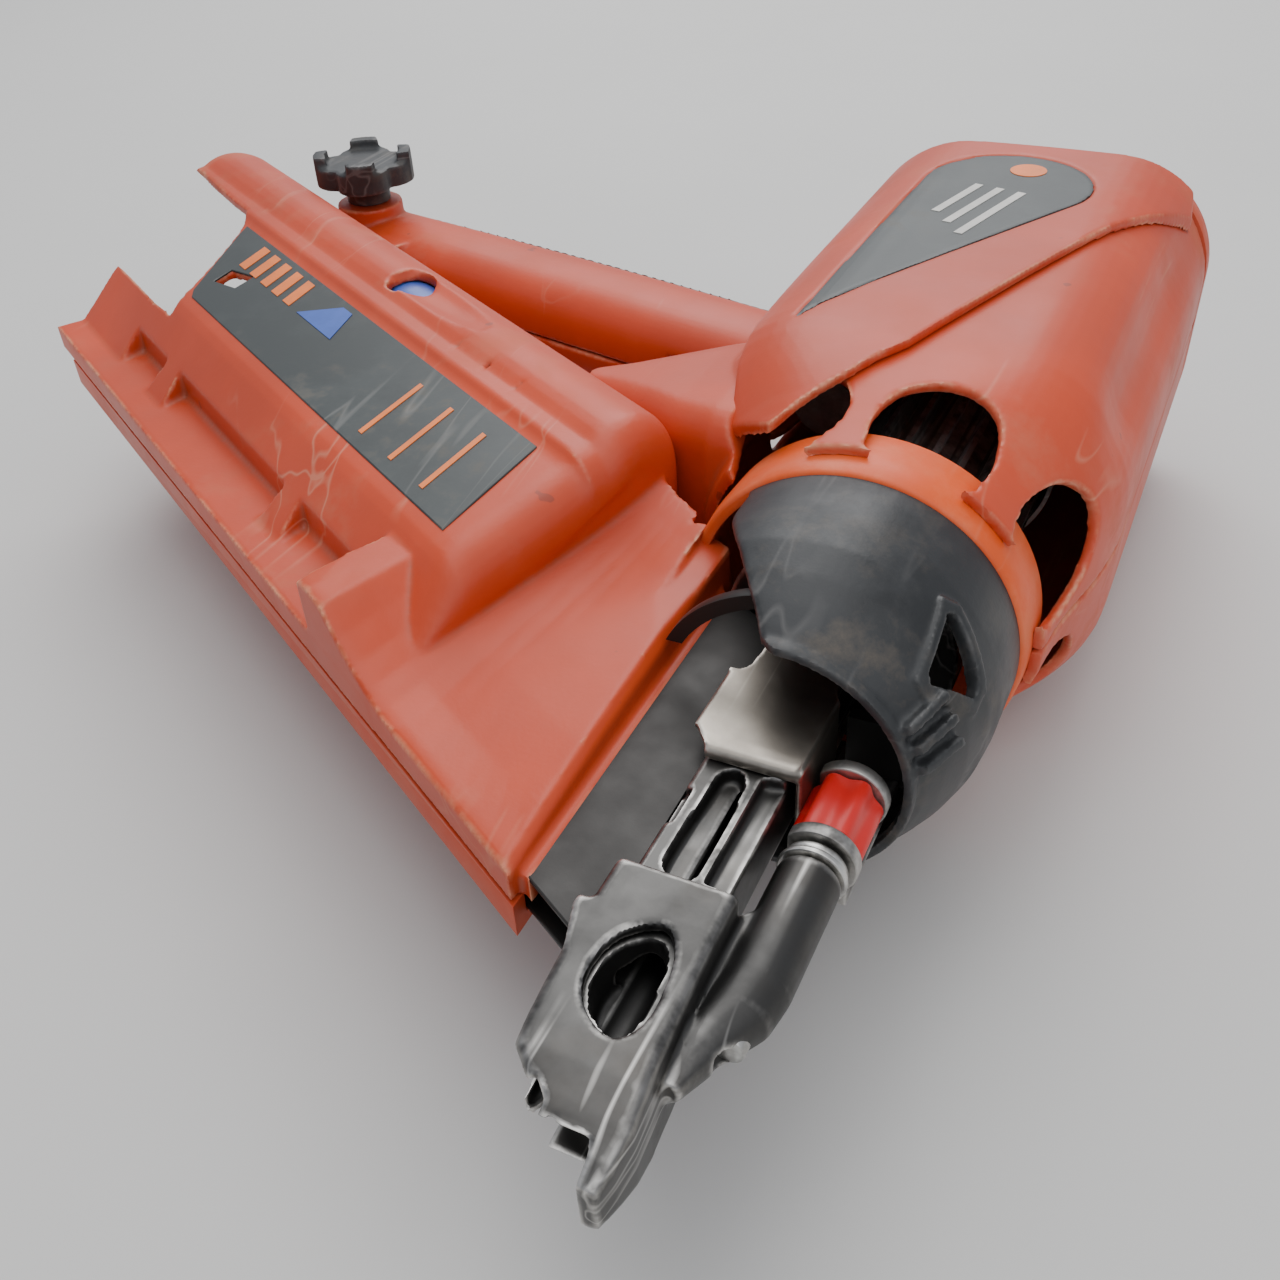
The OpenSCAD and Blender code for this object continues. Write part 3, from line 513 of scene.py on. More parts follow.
def barrel_solid(name, grow, y0, y1):
    ys = [y0] + [y for y in range(140, 360, 6) if y0 + 0.5 < y < y1 - 0.5] + [y1]
    return loft(name, [[across_drive(p, y) for p in barrel_ring(y, grow)] for y in ys])


def vent_cutter(index):
    """One arched vent, cut square to the barrel's side."""
    w = sizes().vent_width / 2
    a = math.radians((24, 75, 124, 236, 285, 332)[index])
    outline = flowing([(-w * 0.72, 150), (w * 0.72, 150), (w * 0.98, 158), (w, 166), (w * 0.8, 175), (w * 0.3, 180.5),
                       (-w * 0.3, 180.5), (-w * 0.8, 175), (-w, 166), (-w * 0.98, 158)], 5)

    def place(p, r):
        return (r * math.cos(a) - p[0] * math.sin(a), p[1], r * math.sin(a) + p[0] * math.cos(a))
    return prism("vent_cutter", outline, place, 28, 75)


def handle_ring(x, grow=0.0, count=48):
    swell = 1.2 * math.sin(math.pi * min(max((x - 20) / 170, 0), 1))
    half_y, half_z = 18.6 + swell * 0.4 + grow, 17.4 + swell * 0.4 + grow
    out = []
    for i in range(count):
        a = 2 * math.pi * i / count
        c, s = math.cos(a), math.sin(a)
        p = 2.6
        out.append((half_y * math.copysign(abs(c) ** (2 / p), c), half_z * math.copysign(abs(s) ** (2 / p), s)))
    return out


def handle_solid(name, grow, x0, x1, steps=10):
    xs = [x0 + (x1 - x0) * i / steps for i in range(steps + 1)]
    return loft(name, [[across_handle(p, x) for p in handle_ring(x, grow)] for x in xs])


def half_space(name, side):
    z = (0.15, 90) if side > 0 else (-90, -0.15)
    return prism(name, [(-500, -100), (200, -100), (200, 500), (-500, 500)], on_plan, *z)


class NAILER_OT_barrel(bpy.types.Operator):
    """Barrel shells with vents, arm and handle socket, both halves"""
    bl_idname = "nailer.barrel"
    bl_label = "Barrel shells"

    def execute(self, context):
        k = sizes()
        shell = barrel_solid("barrel", 0, 150, 341)
        arm = loft("arm", arm_rings(0))
        weld(shell, arm)
        cut(shell, barrel_solid("barrel_hollow", -k.shell_wall, 146, 346))
        for i in (0, 1, 3, 4, 5):
            cut(shell, vent_cutter(i))
        cut(shell, short_vent())
        cut(shell, magazine_back(0.4))
        cut(shell, prism("socket", rounded_box(-19.4, 19.4, -18.4, 18.4, 13),
                         across_handle, 8, 60))
        cut(shell, prism("door_gap", [(-70, 297), (-50, 297), (-50, 337), (-70, 337)], on_plan, -14.5, 14.5))
        left = twin(shell, "barrel_shell_left")
        for o, side, node in ((shell, 1, "housing_right"), (left, -1, "housing_left")):
            combine(o, half_space("half", side), "INTERSECT")
            soften(o, k.shell_voxel, k.shell_turns, 0.28)
            done(o, "tool_body", finish_of("shell"), [node])
        shell.name = "barrel_shell_right"
        return {"FINISHED"}


def arm_rings(grow):
    """The arm that holds the magazine, from inside the barrel to the bulge."""
    rings = []
    for x, y0, y1, h in ((-34, 165, 222, 34.5), (-46, 166, 222, 34), (-58, 171, 219, 31.5), (-70, 178, 213, 29.5),
                         (-82, 183, 207, 27.5), (-93, 189, 201, 25.5)):
        y0, y1, h = y0 - grow, y1 + grow, h + grow
        r = min(9.0, (y1 - y0) / 2 - 0.4) if y1 - y0 > 2 else 0.5
        rings.append([(x, p[0], p[1]) for p in rounded_box(min(y0, y1 - 1.6), y1, -min(h, 25.8 + grow), h, max(r, 0.5), 6)])
    return rings


def short_vent():
    """The vent beside the arm leans towards it."""
    a = math.radians(124)
    outline = flowing([(-9, 150), (-13, 154.6), (-16, 162), (-15.2, 172), (-10, 179), (0, 181.5), (9, 183),
                       (15, 174), (16, 161), (11, 150)], 4)

    def place(p, r):
        return (r * math.cos(a) - p[0] * math.sin(a), p[1], r * math.sin(a) + p[0] * math.cos(a))
    return prism("vent_cutter", outline, place, 28, 75)


def magazine_back(gap):
    return prism("magazine_back", [(-100, -100), (600, -100), (600, 119.3 - gap), (-100, 119.3 - gap)],
                 on_magazine, -90, 90)


PANEL = [(-27, 160), (-41, 170), (-47, 190), (-50, 215), (-54, 260), (-56.5, 300), (-57.5, 345), (43, 345),
         (45, 330), (40, 316), (27, 285), (12, 243), (2, 213), (-4, 194), (-14, 175)]
DROP_TIP, DROP_END, DROP_R = (-36.5, 199), (-8, 308), 26.0


def drop_outline(inset=0.0):
    """The teardrop of the dark inlay."""
    dx, dy = DROP_TIP[0] - DROP_END[0], DROP_TIP[1] - DROP_END[1]
    aim, far = math.atan2(dy, dx), math.hypot(dx, dy)
    spread = math.acos(DROP_R / far)
    r = DROP_R - inset
    out = [(DROP_END[0] + (far - inset * 2.2) * math.cos(aim), DROP_END[1] + (far - inset * 2.2) * math.sin(aim))]
    for i in range(33):
        a = aim + spread + i * (2 * math.pi - 2 * spread) / 32
        out.append((DROP_END[0] + r * math.cos(a), DROP_END[1] + r * math.sin(a)))
    return out


def inlay_bar(start, end, aside, width=2.6):
    """A straight bar along the teardrop, measured from the middle of its round end."""
    dx, dy = DROP_TIP[0] - DROP_END[0], DROP_TIP[1] - DROP_END[1]
    far = math.hypot(dx, dy)
    ax, ay = dx / far, dy / far
    return [(DROP_END[0] + ax * s - ay * t, DROP_END[1] + ay * s + ax * t)
            for s, t in ((start, aside), (end, aside), (end, aside + width), (start, aside + width))]


def panel_blank(name, outline, side, out, into):
    """The part of a skin over the barrel that lies inside an outline."""
    blank = barrel_solid(name, out, 152, 349)
    cut(blank, barrel_solid("inside", into, 150, 352))
    z = (12, 90) if side > 0 else (-90, -12)
    return combine(blank, prism("outline", outline, on_plan, *z), "INTERSECT")


class NAILER_OT_panels(bpy.types.Operator):
    """Raised side panels with their teardrop inlays"""
    bl_idname = "nailer.panels"
    bl_label = "Side panels"

    def execute(self, context):
        for side, word in ((1, "right"), (-1, "left")):
            panel = panel_blank("raised_panel_" + word, PANEL, side, 2.9, 0.25)
            cut(panel, panel_blank("pocket", drop_outline(), side, 6, 1.7))
            soften(panel, 0.7, 5, 0.3)
            done(panel, "tool_body", finish_of("shell"), ["side_panel_" + word])
            inlay = panel_blank("inlay_" + word, drop_outline(0.5), side, 2.75, 1.7)
            soften(inlay, 0.75, 2, 0.4)
            done(inlay, "tool_body", finish_of("film"), ["panel_inlay_" + word])
            dot = panel_blank("inlay_dot_" + word, circle((-4, 320), 5.5, 28), side, 2.95, 2.0)
            done(dot, "tool_body", finish_of("marks"))
            for i in range(3):
                bar = panel_blank("inlay_bar_%s_%d" % (word, i + 1), inlay_bar(6, 44 - 6 * i, 7 - 7 * i), side, 2.95, 2.0)
                done(bar, "tool_body", finish_of("pale"))
        return {"FINISHED"}


class NAILER_OT_shroud(bpy.types.Operator):
    """Black shroud round the lift cage and the orange ring above it"""
    bl_idname = "nailer.shroud"
    bl_label = "Shroud and ring"

    def execute(self, context):
        profile = [(92.6, 30.4), (94.8, 30.8), (95.6, 30.2), (98, 31.7), (103, 34.2), (110, 37.1), (118, 39.3), (126, 40),
                   (145, 40)]

        def solid(name, less, more):
            far = [(y, r) for y, r in profile]
            far[0], far[-1] = (far[0][0] - more, far[0][1]), (far[-1][0] + more, far[-1][1])
            return loft(name, [[across_drive(p, y) for p in circle((0, 0), r - less, 96)] for y, r in far])
        shroud = solid("front_shroud", 0, 0)
        cut(shroud, solid("hollow", 2.3, 2))
        side = flowing([(-70, 88), (-2, 88), (-4, 96), (-14, 112), (-24, 130), (-29, 147), (-70, 150)], 5)
        cut(shroud, prism("open_side", side, on_plan, 0, 60))
        cut(shroud, prism("open_side", side, on_plan, -60, 0))

        def around(degrees):
            t = math.radians(degrees)
            return lambda p, r: (r * math.cos(t) - p[0] * math.sin(t), p[1], r * math.sin(t) + p[0] * math.cos(t))
        frame_edge = [(-12, 112), (-10, 117.4), (8, 123), (12.4, 120.5), (5.4, 102.4), (0.4, 101.8)]
        weld(shroud, combine(prism("frame", frame_edge, around(33), 30, 60), solid("skin", -1.1, 0), "INTERSECT"))
        cut(shroud, solid("hollow", 2.3, 2))
        cut(shroud, prism("hole", [(-8.6, 112.8), (-7.8, 115.0), (7.4, 119.8), (9.2, 118.2), (3.8, 105.4), (1.8, 105.0)],
                          around(33), 25, 60))
        for turn in (31, 22, 13):
            t = math.radians(turn)
            weld(shroud, loft("rib", [[across_drive((r * math.cos(t) - o * math.sin(t), r * math.sin(t) + o * math.cos(t)), y)
                                       for r, o in ((low, -1.2), (low + 4.6, -1.2), (low + 4.6, 1.2), (low, 1.2))]
                                      for y, low in ((94.2, 28.6), (105.5, 33.6))]))
        soften(shroud, 0.62, 5, 0.35)
        done(shroud, "tool_body", finish_of("black"), ["nose_shroud"])
        ring = loft("vent_ring", [[across_drive(p, y) for p in circle((0, 0), r, 96)] for y, r in
                                  ((143.5, 40.3), (144.5, 41), (150, 41.4), (162, 41))])
        cut(ring, loft("hollow", [[across_drive(p, y) for p in circle((0, 0), 38, 96)] for y in (140, 166)]))
        chamfer(ring, 0.5)
        done(ring, "tool_body", finish_of("fresh"), ["vent_collar"])
        return {"FINISHED"}


# ---------- magazine ----------
def cover_outline():
    """Section across the right cover, from the rail round the label face and the bulge."""
    out = [(RAIL_V, 0.15), (RAIL_V, 8.5), (26, 8.5), (44, 25.4), (46.5, 27), (50, 27.9), (66, 30.2), (82, 32.6),
           (84.5, 33.4), (86, 35)]
    for i in range(13):
        a = math.radians(122 - i * 122 / 12)
        out.append((101 + 18 * math.cos(a), 20 + 18 * math.sin(a)))
    return out + [(119, 10), (119, 0.15)]


def block_end(v):
    return 106 + 0.19 * (v - RAIL_V)


class NAILER_OT_magazine(bpy.types.Operator):
    """Right magazine cover with bulge, scoop, pockets, prongs and wing"""
    bl_idname = "nailer.magazine"
    bl_label = "Magazine cover"

    def execute(self, context):
        k = sizes()
        radius = 11.0
        rings = []
        for i in range(8):
            a = math.pi / 2 * i / 7
            drop, along = radius * (1 - math.sin(a)), radius * (1 - math.cos(a))
            rings.append([across_magazine((v - drop * min(max((v - 95) / 24, 0), 1),
                                           z - drop * min(max((z - 8.5) / 15, 0), 1)), block_end(v) + along)
                          for v, z in cover_outline()])
        for u in (150, 250, 350, 392):
            rings.append([across_magazine(p, u) for p in cover_outline()])
        for j in range(1, 4):
            a = math.radians(30 * j)
            rings.append([across_magazine((v, max(z - 6 * (1 - math.cos(a)), 0.15) if z > 12 else z),
                                          392 + 10 * math.sin(a)) for v, z in cover_outline()])
        cover = loft("magazine_cover_right", rings)
        wing = loft("wing", wing_rings())
        weld(cover, wing)
        inner = [(19.6, -2), (19.6, 6), (27, 6), (45.2, 23), (47.5, 24.4), (66, 27.5), (82, 30), (85, 31), (88, 32.2)]
        inner += [(101 + 15.4 * math.cos(math.radians(t)), 20 + 15.4 * math.sin(math.radians(t)))
                  for t in range(120, -1, -10)] + [(116.4, -2)]
        hollow = loft("hollow", [[across_magazine(p, u + slant * (p[0] - 17)) for p in inner]
                                 for u, slant in ((112, 0.19), (250, 0), (405, 0))])
        pockets = ((148, 180), (190, 272), (283, 312))
        for a, b in pockets:
            cut(hollow, prism("pocket_wall", [(a + 3.5, 7), (a - 2.6, 37.6), (b + 2.6, 37.6), (b - 5.5, 7)], on_magazine, -5, 70))
        scoop = ((196, 51.5, 14), (206, 50.9, 14.4), (216, 50.5, 14.6), (226, 50.4, 14.7), (247, 50.4, 14.7),
                 (248, 50.4, 14.5))
        arc = [math.radians(50 + 8 * i) for i in range(11)]
        lining = [(101 + 16.8 * math.cos(a), 20 + 16.8 * math.sin(a)) for a in arc]
        lining += [(101 + 14.5 * math.cos(a), 20 + 14.5 * math.sin(a)) for a in arc[::-1]]
        floor = prism("scoop_floor", lining, across_magazine, 190, 252)
        cut(cover, hollow)
        for a, b in pockets:
            cut(cover, prism("pocket", [(a + 5, 7), (a, 35), (b, 35), (b - 7, 7)], on_magazine, 8.5, 70))
        cut(cover, prism("channel_room", [(43.4, 20.7), (353, 20.7), (353, 105.3), (92.2, 105.3)], on_magazine, -1, 5.8))
        cut(cover, prism("notch", flowing([(299, 46), (306, 42.5), (345, 42.5), (470, 42.5), (470, 86.5), (352, 86.5),
                                           (338, 85), (322, 72)], 5), on_magazine, -1, 80))
        cut(cover, prism("prong_end", [(352, -1), (470, -1), (470, 86.4), (352, 86.4)], on_magazine, -1, 60))
        cut(cover, prism("window", [(289, 62), (300, 59), (302.5, 66), (291, 69.5)], on_magazine, 18, 60))
        for u in (196, 180, 164):
            cut(cover, prism("slot", [(u, 90), (u + 1.4, 90), (u + 1.4, 95), (u, 95)], on_magazine, 33.4, 60))
        cap = [(40.7 * math.cos(math.radians(t)), 40.7 * math.sin(math.radians(t))) for t in range(20, 161, 4)]
        cut(cover, loft("shroud_room", [[across_drive(p, y) for p in cap] for y in (88, 147.5)]))
        cut(cover, loft("engine_room", [[across_drive(p, y) for p in circle((0, 0), r, 72)]
                                        for y, r in ((147.0, 44.4), (154, 45.2), (172, 47.4), (210, 47.4))]))
        cut(cover, prism("button_hole", circle((378, 14), 5.3, 24), lambda p, v: on_magazine((p[0], v), p[1]), 100, 130))
        weld(cover, floor)
        cut(cover, loft("scoop", [[across_magazine(p, u) for p in circle((101, z), r, 40)]
                                  for u, z, r in scoop]))
        cut(cover, prism("battery_window", flowing([(232, 101), (238, 95), (246, 95), (246, 107), (238, 107)], 4),
                         on_magazine, 30, 60))
        soften(cover, k.shell_voxel, 5, 0.28)
        done(cover, "tool_body", finish_of("shell"), ["magazine_right"])
        return {"FINISHED"}


def wing_rings():
    """The low wing between the block and the nose, from the rail to the barrel."""
    rings = []
    for v, top in ((17.15, 8.75), (20.1, 9.2), (30, 10.5), (45, 12), (60, 13), (75, 13.8), (90, 15), (102, 17), (110, 19)):
        u0 = (v * math.sin(SLOPE) + 30.2) / math.cos(SLOPE)
        u1 = 136 + 0.1 * v
        n = 14
        ring = [(u0, 0.32), (u0, top * 0.82), (u0 + 2.4, top)]
        for i in range(1, n):
            u = u0 + 2.4 + (u1 - u0 - 2.4) * i / n
            rise = max(0, (u - block_end(v) + 14) / 26)
            dip = -1.6 * math.sin(math.pi * i / n) if v > 24 else 0
            ring.append((u, min(top + dip + 9 * rise ** 2, 24)))
        ring += [(u1, min(top + 14, 24)), (u1, 0.32)]
        rings.append([on_magazine((u, v), z) for u, z in ring])
    return rings


def label_height(v):
    return 27.9 + (v - 50) * (32.6 - 27.9) / 32


def decal(name, outline, key, lift, thick=0.22):
    """A thin printed shape on the label face."""
    low = [(on_magazine(p, label_height(p[1]) + lift)) for p in outline]
    high = [(on_magazine(p, label_height(p[1]) + lift + thick)) for p in outline]
    o = loft(name, [low, high])
    done(o, "tool_body", finish_of(key))
    return o


class NAILER_OT_label(bpy.types.Operator):
    """Dark label on the magazine with printed marks"""
    bl_idname = "nailer.label"
    bl_label = "Magazine label"

    def execute(self, context):
        outline = [(127.5, 50), (139, 82.5), (330, 82.5), (327, 79), (300, 52), (296, 50)]
        low = [on_magazine(p, label_height(p[1]) - 0.3) for p in outline]
        high = [on_magazine(p, label_height(p[1]) + 0.45) for p in outline]
        label = loft("magazine_film", [low, high])
        cut(label, prism("window", [(289, 62), (300, 59), (302.5, 66), (291, 69.5)], on_magazine, 10, 60))
        chamfer(label, 0.2, 1)
        done(label, "tool_body", finish_of("film"), ["magazine_label"])
        for i, u in enumerate((146, 163, 180)):
            decal("mark_%d" % (i + 1), [(u - 0.8, 54), (u + 1.1, 54), (u + 8.6, 76), (u + 6.7, 76)], "marks", 0.45)
        for i in range(5):
            u = 262 + i * 9
            decal("stripe_%d" % (i + 1), [(u, 69), (u + 5, 69), (u + 10, 80), (u + 5, 80)], "marks", 0.45)
        decal("wedge", [(232, 69), (256, 69), (246, 80), (240, 80)], "blue", 0.45)
        return {"FINISHED"}


# ---------- nose ----------
class NAILER_OT_foot(bpy.types.Operator):
    """Toothed contact foot with its eye, arm and adjusting sleeve"""
    bl_idname = "nailer.foot"
    bl_label = "Contact foot"

    def execute(self, context):
        k = sizes()
        rings = []
        for y, xl, xr, zb, zt in ((-10.5, 0.5, 12, -5, 6.0), (-6, -2, 13.0, -6.5, 8.0), (0, -5, 13.6, -8.5, 9.8), (6, -10.8, 13.2, -10.4, 10.9),
                                  (12, -11.6, 12.6, -11, 11), (20, -12.3, 12.2, -11, 11), (30, -13, 11.6, -11, 11),
                                  (40, -13, 11.4, -11, 11), (48, -13, 11.4, -11, 11)):
            rings.append([across_drive(p, y) for p in rounded_box(xl, xr, zb, zt, 2.2 if y > -8 else 1.6, 5)])
        foot = loft("toothed_foot", rings)
        arm = loft("arm", [[across_drive(p, y) for p in circle((x, z), r, 40)] for y, x, z, r in
                           ((12, 12.5, 1.5, 3.0), (22, 14.5, 1, 5.0), (31, 17.6, 0, 6.4), (38, 18.5, 0, 6.5), (64.8, 18.5, 0, 6.5), (66, 18.5, 0, 5.9))])
        web = prism("web", [(8, 12), (14, 14), (19, 26), (19, 50), (15, 54), (9, 47)], on_plan, -3.4, 4.2)
        hook = prism("hook", [(-12, 25), (-15.5, 35.5), (-15.2, 37), (-12, 37.5)], on_plan, -6, 11)
        weld(foot, arm, web, hook)
        cut(foot, prism("bar_room", rounded_box(-10.4, 8.4, -8.4, 8.4, 0.8, 3), across_drive, -20, 60))
        eye = flowing([(1.5, 36.5), (-4.4, 32), (-6.2, 24), (-3.5, 16.5), (3.4, 12.5), (7.2, 17), (7.2, 26), (5.4, 33)], 5)
        cut(foot, prism("eye", eye, on_plan, 0, 30))
        cut(foot, prism("tooth_gap", [(-30, -20), (-3.5, -20), (-1.5, -1), (-4.5, 2.2), (-9, -1), (-30, 4)], on_plan, -2, 30))
        cut(foot, prism("tooth_gap", [(-30, -20), (-3.4, -20), (-4, 7.5), (-7.5, 9.5), (-10, 4.5), (-30, 6)], on_plan, -30, -1.9))
        cut(foot, prism("tooth_gap", [(-3.2, -30), (3.4, -30), (3.2, -6.5), (1.2, -2.5), (-1.6, -6)], on_plan, 3.5, 30))
        cut(foot, prism("tooth_gap", [(8.2, -30), (10.2, -30), (9.4, -7), (8.8, -6.8)], on_plan, -30, 30))
        cut(foot, prism("tooth_gap", [(2, -30), (4, -30), (6, -5), (3, -1), (0, -5)], on_plan, -30, 2))
        cut(foot, prism("channel_room", [(-30, -20), (-9.2, -20), (-9.2, 49), (-30, 49)], on_plan, -6.2, 6.2))
        cut(foot, prism("screw_hole", circle((18.5, 0), 2.55, 24), across_drive, 20, 80))
        soften(foot, k.nose_voxel, 4, 0.6)
        done(foot, "foot", finish_of("nose"), ["contact_foot"])
        pin = prism("foot_pin", circle((18.5, 0), 3.4, 28), across_drive, 24.2, 30.5)
        chamfer(pin, 0.7)
        done(pin, "foot", finish_of("zinc"))
        return {"FINISHED"}


class NAILER_OT_nose(bpy.types.Operator):
    """Nose bar, folded bracket and red wheel"""
    bl_idname = "nailer.nose"
    bl_label = "Nose bar and bracket"

    def execute(self, context):
        k = sizes()
        bar = prism("nose_bar", rounded_box(-10, 8, -8, 8, 1.2, 3), across_drive, 12, 137)
        plate = prism("nose_plate", circle((0, 0), 28, 72), across_drive, 136, 142)
        weld(bar, plate)
        cut(bar, prism("bore", circle((0, 0), 3.8, 40), across_drive, 5, 150))
        cut(bar, prism("strip_way", [(-20, 30), (0, 30), (0, 104), (-20, 104)], on_plan, -2, 2))
        cut(bar, prism("trough", flowing([(-5.6, 52), (-1, 50), (1.6, 53), (0.6, 77), (-4.4, 79), (-5.4, 70)], 4), on_plan, 4.2, 12))
        cut(bar, prism("eye_room", flowing([(1, 35), (-4, 31), (-5.5, 24), (-3, 17.5), (3, 14), (5.5, 18), (5.5, 26),
                                            (4.5, 32)], 4), on_plan, -2, 12))
        cut(bar, prism("step", [(3.4, 50), (12, 50), (12, 82), (3.4, 80)], on_plan, 5.0, 12))
        cut(bar, prism("side_cut", [(-30, 61), (-8.2, 62), (-8.2, 72), (-30, 73)], on_plan, 5.6, 12))
        soften(bar, k.nose_voxel, 3, 0.5)
        done(bar, "tool_body", finish_of("nose"), ["nosepiece"])
        path = [(80, 9.6), (80.2, 10.8), (81.5, 11.6), (84, 11.8), (104, 12.0), (110, 12.1), (134, 12.4)]
        top = [(y, z) for y, z in path]
        under = [(y + 0.5 if i < 2 else y, z - 1.5) for i, (y, z) in enumerate(path)]
        bracket = prism("folded_bracket", top + under[::-1], lambda p, x: (x, p[0], p[1]), -14, 11.0)
        cut(bracket, prism("trim", flowing([(-22, 112), (-14.2, 105.5), (-10.6, 107), (-9.8, 114), (-8.5, 128), (-6, 140), (-22, 142)], 5), on_plan, -20, 30))
        cut(bracket, prism("trim", flowing([(20, 101), (11.6, 103), (8.6, 110), (7.6, 122), (5, 140), (20, 141)], 5), on_plan, -20, 30))
        cut(bracket, prism("corner", [(-20, 70), (-9, 70), (-9.6, 81), (-13.6, 86), (-20, 86)], on_plan, -20, 30))
        side = prism("side", [(10.5, 12.0), (11.3, 11.0), (11.1, 9), (11.1, -4), (9.7, -4), (9.7, 9.5), (9.9, 10.6)], across_drive, 80.6, 103.5)
        left = prism("side", [(-14, 11.6), (-14, 8.6), (-12.6, 8.6), (-12.6, 10.8)], across_drive, 96.5, 105.5)
        weld(bracket, side, left)
        soften(bracket, 0.5, 3, 0.5)
        done(bracket, "tool_body", finish_of("steel"), ["nose_bracket"])
        wheel_y = 73.3
        star = []
        for i in range(72):
            a = 2 * math.pi * i / 72
            star.append((18.5 + (6.95 + 0.65 * math.cos(6 * a)) * math.cos(a), (6.95 + 0.65 * math.cos(6 * a)) * math.sin(a)))
        wheel = prism("red_wheel", star, across_drive, wheel_y, wheel_y + 15)
        cut(wheel, prism("bore", circle((18.5, 0), 2.58, 32), across_drive, 60, 100))
        chamfer(wheel, 0.7, 2, 50)
        done(wheel, "depth_wheel", finish_of("red"), ["depth_wheel"])
        return {"FINISHED"}


# ---------- handle ----------
class NAILER_OT_handle(bpy.types.Operator):
    """Handle halves, rubber grip and thumb knob"""
    bl_idname = "nailer.handle"
    bl_label = "Handle and knob"

    def execute(self, context):
        k = sizes()
        grip = handle_solid("handle", 0, 12, 208)
        weld(grip, prism("end_boss", circle((200, 0), 12, 40), on_handle, -30, 22))
        weld(grip, prism("web", [(322, 119), (352, 119), (352, 142), (322, 142)], on_magazine, -16, 16))
        cut(grip, handle_solid("hollow", -2.6, 8, 186))
        cut(grip, magazine_back(-0.2))
        cut(grip, prism("stud_hole", circle((200, 0), 4.1, 32), on_handle, -40, 40))
        cut(grip, prism("trigger_slot", [(15.5, -30), (46.5, -30), (46.5, -10), (15.5, -10)], on_handle, -7.1, 7.1))
        cut(grip, prism("pad_room", [(21.5, 14), (182.5, 14), (182.5, 30), (21.5, 30)], on_handle, -18, 18))
        left = twin(grip, "handle_half_left")
        for o, side, node in ((grip, 1, "handle_right"), (left, -1, "handle_left")):
            combine(o, half_space("half", side), "INTERSECT")
            soften(o, k.shell_voxel, 8, 0.25)
            done(o, "tool_body", finish_of("shell"), [node])
        grip.name = "handle_half_right"
        pad = handle_solid("rubber_grip", 0.7, 22, 182)
        cut(pad, handle_solid("hollow", -1.6, 10, 200))
        cut(pad, prism("trim", [(10, -40), (200, -40), (200, 14.4), (10, 14.4)], on_handle, -40, 40))
        soften(pad, 0.9, 3, 0.5)
        done(pad, "tool_body", finish_of("rubber"), ["grip_pad"])
        knob = prism("side_knob", circle((200, 0), 4, 32), on_handle, -52, 30)
        weld(knob, prism("collar", circle((200, 0), 8, 36), on_handle, 22.3, 30))
        lobes = []
        for i in range(96):
            a = 2 * math.pi * i / 96
            r = 13.4 + 4.4 * max(0, math.cos(2 * (a - math.pi / 4))) ** 0.8 if math.cos(2 * (a - math.pi / 4)) > 0 else 13.4 + 4.4 * max(0, -math.cos(2 * (a - math.pi / 4))) ** 0.8
            lobes.append((200 + r * math.cos(a), r * math.sin(a)))
        weld(knob, prism("head", lobes, on_handle, 29, 36.5))
        for i in range(4):
            a = math.radians(45 + 90 * i)
            tab = [(200 + x * math.cos(a) - y * math.sin(a), x * math.sin(a) + y * math.cos(a)) for x, y in
                   ((12.5, -5.5), (17.2, -4.5), (17.8, 0), (17.2, 4.5), (12.5, 5.5), (13.5, 0))]
            weld(knob, prism("tab", tab, on_handle, 30, 40))
        soften(knob, 0.75, 3, 0.5)
        done(knob, "knob", finish_of("knob"), ["thumb_knob"])
        return {"FINISHED"}


CARRIED = {
    "end_cap": "cover", "air_filter": "foam", "fuel_door": "black", "fuel_door_pin": "zinc",
    "drive_cylinder": "alu", "cylinder_head": "alu", "chamber_sleeve": "alu", "fan_motor": "zinc", "fan": "black",
    "spark_plug": "white", "fuel_valve": "black", "fuel_cell": "alu", "piston": "alu", "piston_rings": "nose",
    "driver_blade": "steel", "bumper": "rubber", "depth_screw": "zinc", "depth_bracket": "rod",
    "screw_washers": "zinc", "lift_cage": "dark", "return_spring": "steel", "nail_channel": "dark",
    "magazine_left": "cover", "follower": "black", "spring_reel": "red", "reel_axle": "zinc", "battery": "blue",
    "battery_contacts": "brass", "battery_latch": "black", "control_board": "green", "spark_unit": "black",
    "trigger": "black", "trigger_spring": "steel", "trigger_switch": "black", "rafter_hook": "nose",
    "knob_nut": "zinc", "housing_screws": "zinc", "magazine_bolts": "zinc",
}


class NAILER_OT_carried(bpy.types.Operator):
    """Finishes and small edge radii for the parts that are kept as they are"""
    bl_idname = "nailer.carried"
    bl_label = "Kept parts"

    def execute(self, context):
        for name, key in CARRIED.items():
            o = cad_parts[name]
            o.data.materials.clear()
            o.data.materials.append(finish_of(key))
            pick(o)
            bpy.ops.object.modifier_add(type="WELD")
            o.modifiers[-1].merge_threshold = 0.00002
            bpy.ops.object.modifier_add(type="BEVEL")
            m = o.modifiers[-1]
            m.width, m.segments, m.limit_method = sizes().edge / 1000 * 0.8, 2, "ANGLE"
            m.angle_limit = math.radians(40)
        return {"FINISHED"}


class NAILER_OT_finishes(bpy.types.Operator):
    """Every finish of the tool"""
    bl_idname = "nailer.finishes"
    bl_label = "Finishes"

    def execute(self, context):
        mix_finishes()
        return {"FINISHED"}


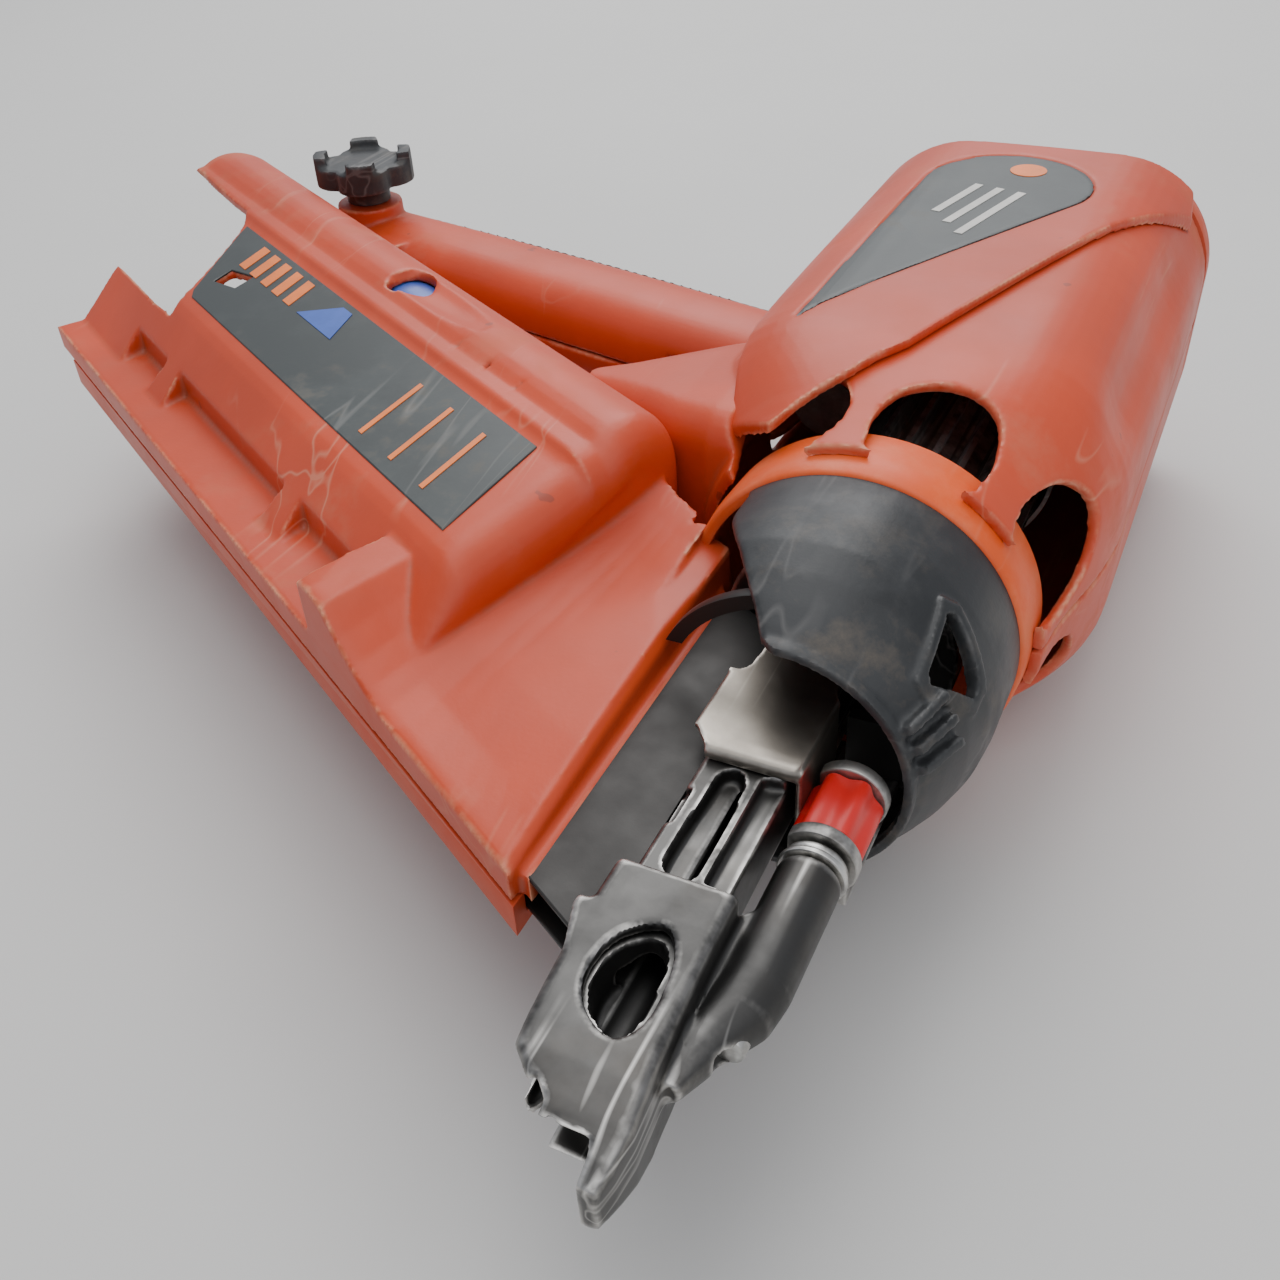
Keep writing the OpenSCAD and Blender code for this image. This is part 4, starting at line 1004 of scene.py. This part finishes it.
class NAILER_OT_stage(bpy.types.Operator):
    """Pale floor, soft light and the camera"""
    bl_idname = "nailer.stage"
    bl_label = "Stage"

    def execute(self, context):
        bpy.ops.object.select_all(action="DESELECT")
        bpy.ops.mesh.primitive_plane_add(size=12, location=(0, 0, -0.0006))
        floor = context.object
        floor.name = "floor"
        floor.data.materials.append(plain("pale_floor", colours().floor, 0.75, grain=12, vary=0.04, strength=0.02))
        for name, spot_at, size, power, turn in (
                ("window_light", (-0.5, 1.1, 1.3), 1.3, 22, None), ("fill_light", (0.9, -0.7, 1.2), 1.6, 9, None),
                ("top_light", (-0.2, -0.1, 1.6), 1.2, 10, None)):
            data = bpy.data.lights.new(name, "AREA")
            data.size, data.energy = size, power
            lamp = bpy.data.objects.new(name, data)
            context.scene.collection.objects.link(lamp)
            lamp.location = spot_at
            lamp.rotation_euler = (Vector((0, 0, 0)) - Vector(spot_at)).to_track_quat("-Z", "Y").to_euler()
        world = bpy.data.worlds.new("studio")
        world.use_nodes = True
        world.node_tree.nodes["Background"].inputs[0].default_value = (0.88, 0.92, 1.0, 1)
        world.node_tree.nodes["Background"].inputs[1].default_value = 0.55
        context.scene.world = world
        camera = bpy.data.objects.new("camera", bpy.data.cameras.new("camera"))
        context.scene.collection.objects.link(camera)
        right = Vector((0.9012283, 0.4311627, -0.0434310))
        up = Vector((-0.2393244, 0.5787699, 0.7795828))
        back = -Vector((-0.3612636, 0.6921880, -0.6247915))
        camera.matrix_world = Matrix(((right.x, up.x, back.x, 0.06844), (right.y, up.y, back.y, -0.37448),
                                      (right.z, up.z, back.z, 0.2421), (0, 0, 0, 1)))
        camera.data.lens = 36.5625
        camera.data.sensor_width = 36
        camera.data.shift_y = 0.01316
        camera.data.clip_start = 0.01
        context.scene.camera = camera
        return {"FINISHED"}


OPERATORS = (NAILER_OT_finishes, NAILER_OT_stage, NAILER_OT_carried, NAILER_OT_barrel, NAILER_OT_panels,
             NAILER_OT_shroud, NAILER_OT_magazine, NAILER_OT_label, NAILER_OT_foot, NAILER_OT_nose,
             NAILER_OT_handle)


class NAILER_PT_panel(bpy.types.Panel):
    """The nailer's sizes, colours and steps"""
    bl_idname = "NAILER_PT_panel"
    bl_label = "Strip nailer"
    bl_space_type = "VIEW_3D"
    bl_region_type = "UI"
    bl_category = "Nailer"

    def draw(self, context):
        for group in (context.scene.nailer_sizes, context.scene.nailer_colours):
            column = self.layout.column()
            for key in group.bl_rna.properties.keys():
                if key not in ("rna_type", "name"):
                    column.prop(group, key)
        for c in OPERATORS:
            self.layout.operator(c.bl_idname)


CLASSES = (NailerColours, NailerSizes, *OPERATORS, NAILER_PT_panel)


def register():
    for c in CLASSES:
        bpy.utils.register_class(c)
    bpy.types.Scene.nailer_colours = PointerProperty(type=NailerColours)
    bpy.types.Scene.nailer_sizes = PointerProperty(type=NailerSizes)


def unregister():
    del bpy.types.Scene.nailer_sizes
    del bpy.types.Scene.nailer_colours
    for c in reversed(CLASSES):
        bpy.utils.unregister_class(c)


def main():
    register()
    for c in OPERATORS:
        step = getattr(bpy.ops.nailer, c.bl_idname.split(".")[1])
        step()
        print("made", c.bl_label, flush=True)


if __name__ == "__main__":
    main()
